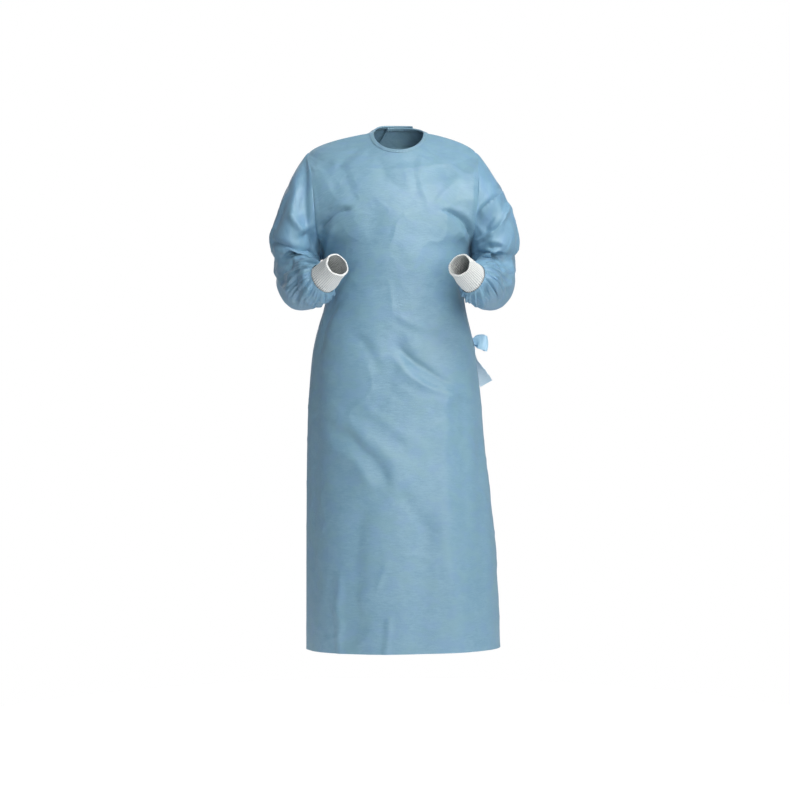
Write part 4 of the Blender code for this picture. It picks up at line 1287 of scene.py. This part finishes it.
def band(name, tilt, deep, tall, width, start):
    """A strip wrapped once round the knot, in a plane that is tilted from upright by tilt degrees."""
    angle = np.linspace(0, 2.06 * math.pi, BAND_POINTS) + start
    lean = math.radians(tilt)
    up = knot_up * math.cos(lean) + knot_side * math.sin(lean)
    across = knot_side * math.cos(lean) - knot_up * math.sin(lean)
    swell = 1 + 0.03 * np.linspace(0, 1, BAND_POINTS)
    cosine, sine = np.cos(angle)[:, None], np.sin(angle)[:, None]
    line = knot_middle + (cosine * deep * knot_out + sine * tall * up) * swell[:, None]
    out = unit(cosine * tall * knot_out + sine * deep * up)
    share = np.linspace(-1, 1, 15)
    waist = width / 2 * (1 - 0.25 * np.cos(angle) ** 2)
    grid = line[:, None] + across * (share * waist[:, None])[..., None]
    crease = 0.0007 * np.cos(4.5 * math.pi * share + 0.7 * np.sin(2 * angle)[:, None]) - 0.0020 * share**2
    grid = grid + out[:, None] * crease[..., None]
    facing = own_normals(grid)
    turned = (facing * out[:, None]).sum() < 0
    return shell(name, grid, -facing if turned else facing, tie_painted_light_finish, TIE_WALL, flip=bool(turned))


knot_wrap = band("tie_knot_wrap", 12, 0.0068, 0.0145, 0.019, 0.6)
knot_cross = band("tie_knot_cross", 78, 0.0058, 0.0120, 0.022, 1.4)
fit_on(knot_wrap, "tie", "tie_knot")
fit_on(knot_cross, "tie")

# %% [markdown]
# ## Stitches
#
# The sleeves are sewn into the armholes, the binding and the tab are topstitched, and the cuffs are sewn to
# the sleeves. Rods are made here for the binding's and the tab's topstitching and for the cuffs' seams; the
# armholes get none. A stitch is a tiny rounded rod that lies on the cloth. All the stitches of one seam are
# joined in one mesh.

# %% Stitches
ROD_SIDES = 5


def at_walk(values, walk, distance):
    return np.array([np.interp(distance, walk, values[:, k]) for k in range(3)])


def stitches(name, path, outward, finish, length=0.0026, gap=0.0011, radius=0.00024):
    """A row of rounded rods along a path, with gaps between them."""
    walk = walked(path)
    starts = np.arange(0.001, walk[-1] - length, length + gap)
    points, faces = [], []
    angle = 2 * math.pi * np.arange(ROD_SIDES) / ROD_SIDES
    for start in starts:
        ends = [at_walk(path, walk, start + length * share) for share in (0, 0.2, 0.8, 1)]
        out = unit(at_walk(outward, walk, start + length / 2))
        along = unit(ends[-1] - ends[0])
        side = np.cross(along, out)
        base = len(points)
        for place, size, lift in zip(ends, (0.5, 1, 1, 0.5), (0, 0.6, 0.6, 0)):
            for a in angle:
                points.append(place + radius * (size * (math.cos(a) * side + math.sin(a) * out) + lift * out))
        for ring in range(3):
            low = base + ring * ROD_SIDES
            for k in range(ROD_SIDES):
                beside = low + (k + 1) % ROD_SIDES
                faces.append([low + k, beside, beside + ROD_SIDES, low + k + ROD_SIDES])
        faces.append([base + k for k in reversed(range(ROD_SIDES))])
        faces.append([base + 3 * ROD_SIDES + k for k in range(ROD_SIDES)])
    return add_mesh(name, points, faces, finish, sharp=180)


edge, normal, below = binding_path()
down = unit(below - edge)
binding_line = edge + down * (BINDING_WIDTH - 0.0022) + normal * (BINDING_GAP + BINDING_WALL * 1.15)
fit_on(stitches("binding_stitches", binding_line, normal, thread_finish), "cloth")


def just_inside(grid):
    """The loop of a patch's points that lies a few rows and columns inside its edge."""
    return np.concatenate([grid[2:-2, 3], grid[-3, 4:-3], grid[-4:1:-1, -4], grid[2, -5:2:-1]])


fit_on(stitches("tab_stitches", just_inside(tab), just_inside(tab_out), thread_finish), "cloth")
for side in ("right", "left"):
    grid = grids["sleeve_" + side][0]
    row = len(grid) - 2
    line = np.concatenate([grid[row], grid[row, :1]])
    face = np.concatenate([normals["sleeve_" + side][row], normals["sleeve_" + side][row, :1]])
    fit_on(stitches("cuff_stitches_" + side, line, face, thread_finish, 0.0022, 0.0010), "cloth")
print("stitches made")

# %% [markdown]
# ## Lengths of the straps
#
# Each waist strap's length is its area divided by the strap's width of 0.038 m. Both are printed.

tie_back_long = area_of(strap_back) / 0.038
tie_front_long = area_of(strap_front) / 0.038
print("straps", round(tie_back_long, 3), round(tie_front_long, 3))

# %% [markdown]
# ## Stage and light
#
# A plain white floor lies 0.3 m below the hem. It glows a little by itself, as a lit paper roll does, so that
# it joins the white background with no horizon. Three soft lights stand in front, high up and towards the
# camera's right, and give the gown its bright side. A fourth, at the height of the chest, reaches the cloth
# under the sleeves. A grid on the side light and on that one keeps them off the hem. All four are warm. A
# fifth lights the gown from behind. The world is white to the camera, but it lights the gown with less than
# that and a little cooler, so the folds keep a blue shade.

# %% Floor
FLOOR = -1.54
FLOOR_GLOW = 0.96
FLOOR_RADIUS = 1.5


def stage_finish():
    paper = Finish("pale floor", Roughness=0.95, Emission_Strength=FLOOR_GLOW, Specular_IOR_Level=0.1)
    places = paper.add("ShaderNodeTexCoord", {}, {}, out=3)
    grain = paper.noise(places, 3.0, 2.0)
    paper.surface(Base_Color=paper.mix(grain, rgba(0.52, 0.52, 0.52), rgba(0.56, 0.56, 0.56)),
                  Emission_Color=paper.mix(grain, rgba(0.98, 0.98, 0.98), rgba(1.0, 1.0, 1.0)))
    return paper.material


rim = 2 * math.pi * np.arange(96) / 96
rim = np.stack([FLOOR_RADIUS * np.cos(rim), FLOOR_RADIUS * np.sin(rim), 0 * rim + FLOOR], axis=1)
floor = add_mesh("floor", rim, [list(range(96))], stage_finish())


# %% Lights
def soft_light(name, place, target, power, size, colour, spread=180):
    data = bpy.data.lights.new(name, "AREA")
    data.color = colour
    data.spread = math.radians(spread)
    data.energy = power
    data.size = size
    made = put_in_scene(name, data)
    made.location = place
    made.rotation_euler = (Vector(target) - Vector(place)).to_track_quat("-Z", "Y").to_euler()


WARM, NEUTRAL = (1.0, 0.97, 0.92), (1.0, 1.0, 1.0)
soft_light("key", (1.7, -2.1, 1.9), (0, 0, -0.3), 41, 1.8, WARM)
soft_light("top", (0.5, -1.5, 1.6), (0, 0, -0.1), 28, 0.9, WARM)
soft_light("side", (2.6, -2.3, 0.5), (0, 0, -0.25), 9.6, 2.8, WARM, 70)
soft_light("fill", (0.9, -3.3, -0.1), (0.05, 0, -0.25), 3.0, 1.4, WARM, 44)
soft_light("back", (-0.3, 3.4, 1.0), (0, 0, -0.6), 40, 2.8, NEUTRAL)

# %% World
WORLD_LIGHT = 0.32
WORLD_TINT = (0.86, 0.94, 1.0, 1)
world = bpy.data.worlds.new("pale studio")
bpy.context.scene.world = world
world.use_nodes = True
nodes, links = world.node_tree.nodes, world.node_tree.links
seen, lit = nodes["Background"], nodes.new("ShaderNodeBackground")
seen.inputs["Color"].default_value = (1, 1, 1, 1)
lit.inputs["Color"].default_value = WORLD_TINT
lit.inputs["Strength"].default_value = WORLD_LIGHT
ray, choice = nodes.new("ShaderNodeLightPath"), nodes.new("ShaderNodeMixShader")
links.new(ray.outputs["Is Camera Ray"], choice.inputs[0])
links.new(lit.outputs[0], choice.inputs[1])
links.new(seen.outputs[0], choice.inputs[2])
links.new(choice.outputs[0], nodes["World Output"].inputs["Surface"])
bpy.context.scene.view_settings.view_transform = "Standard"
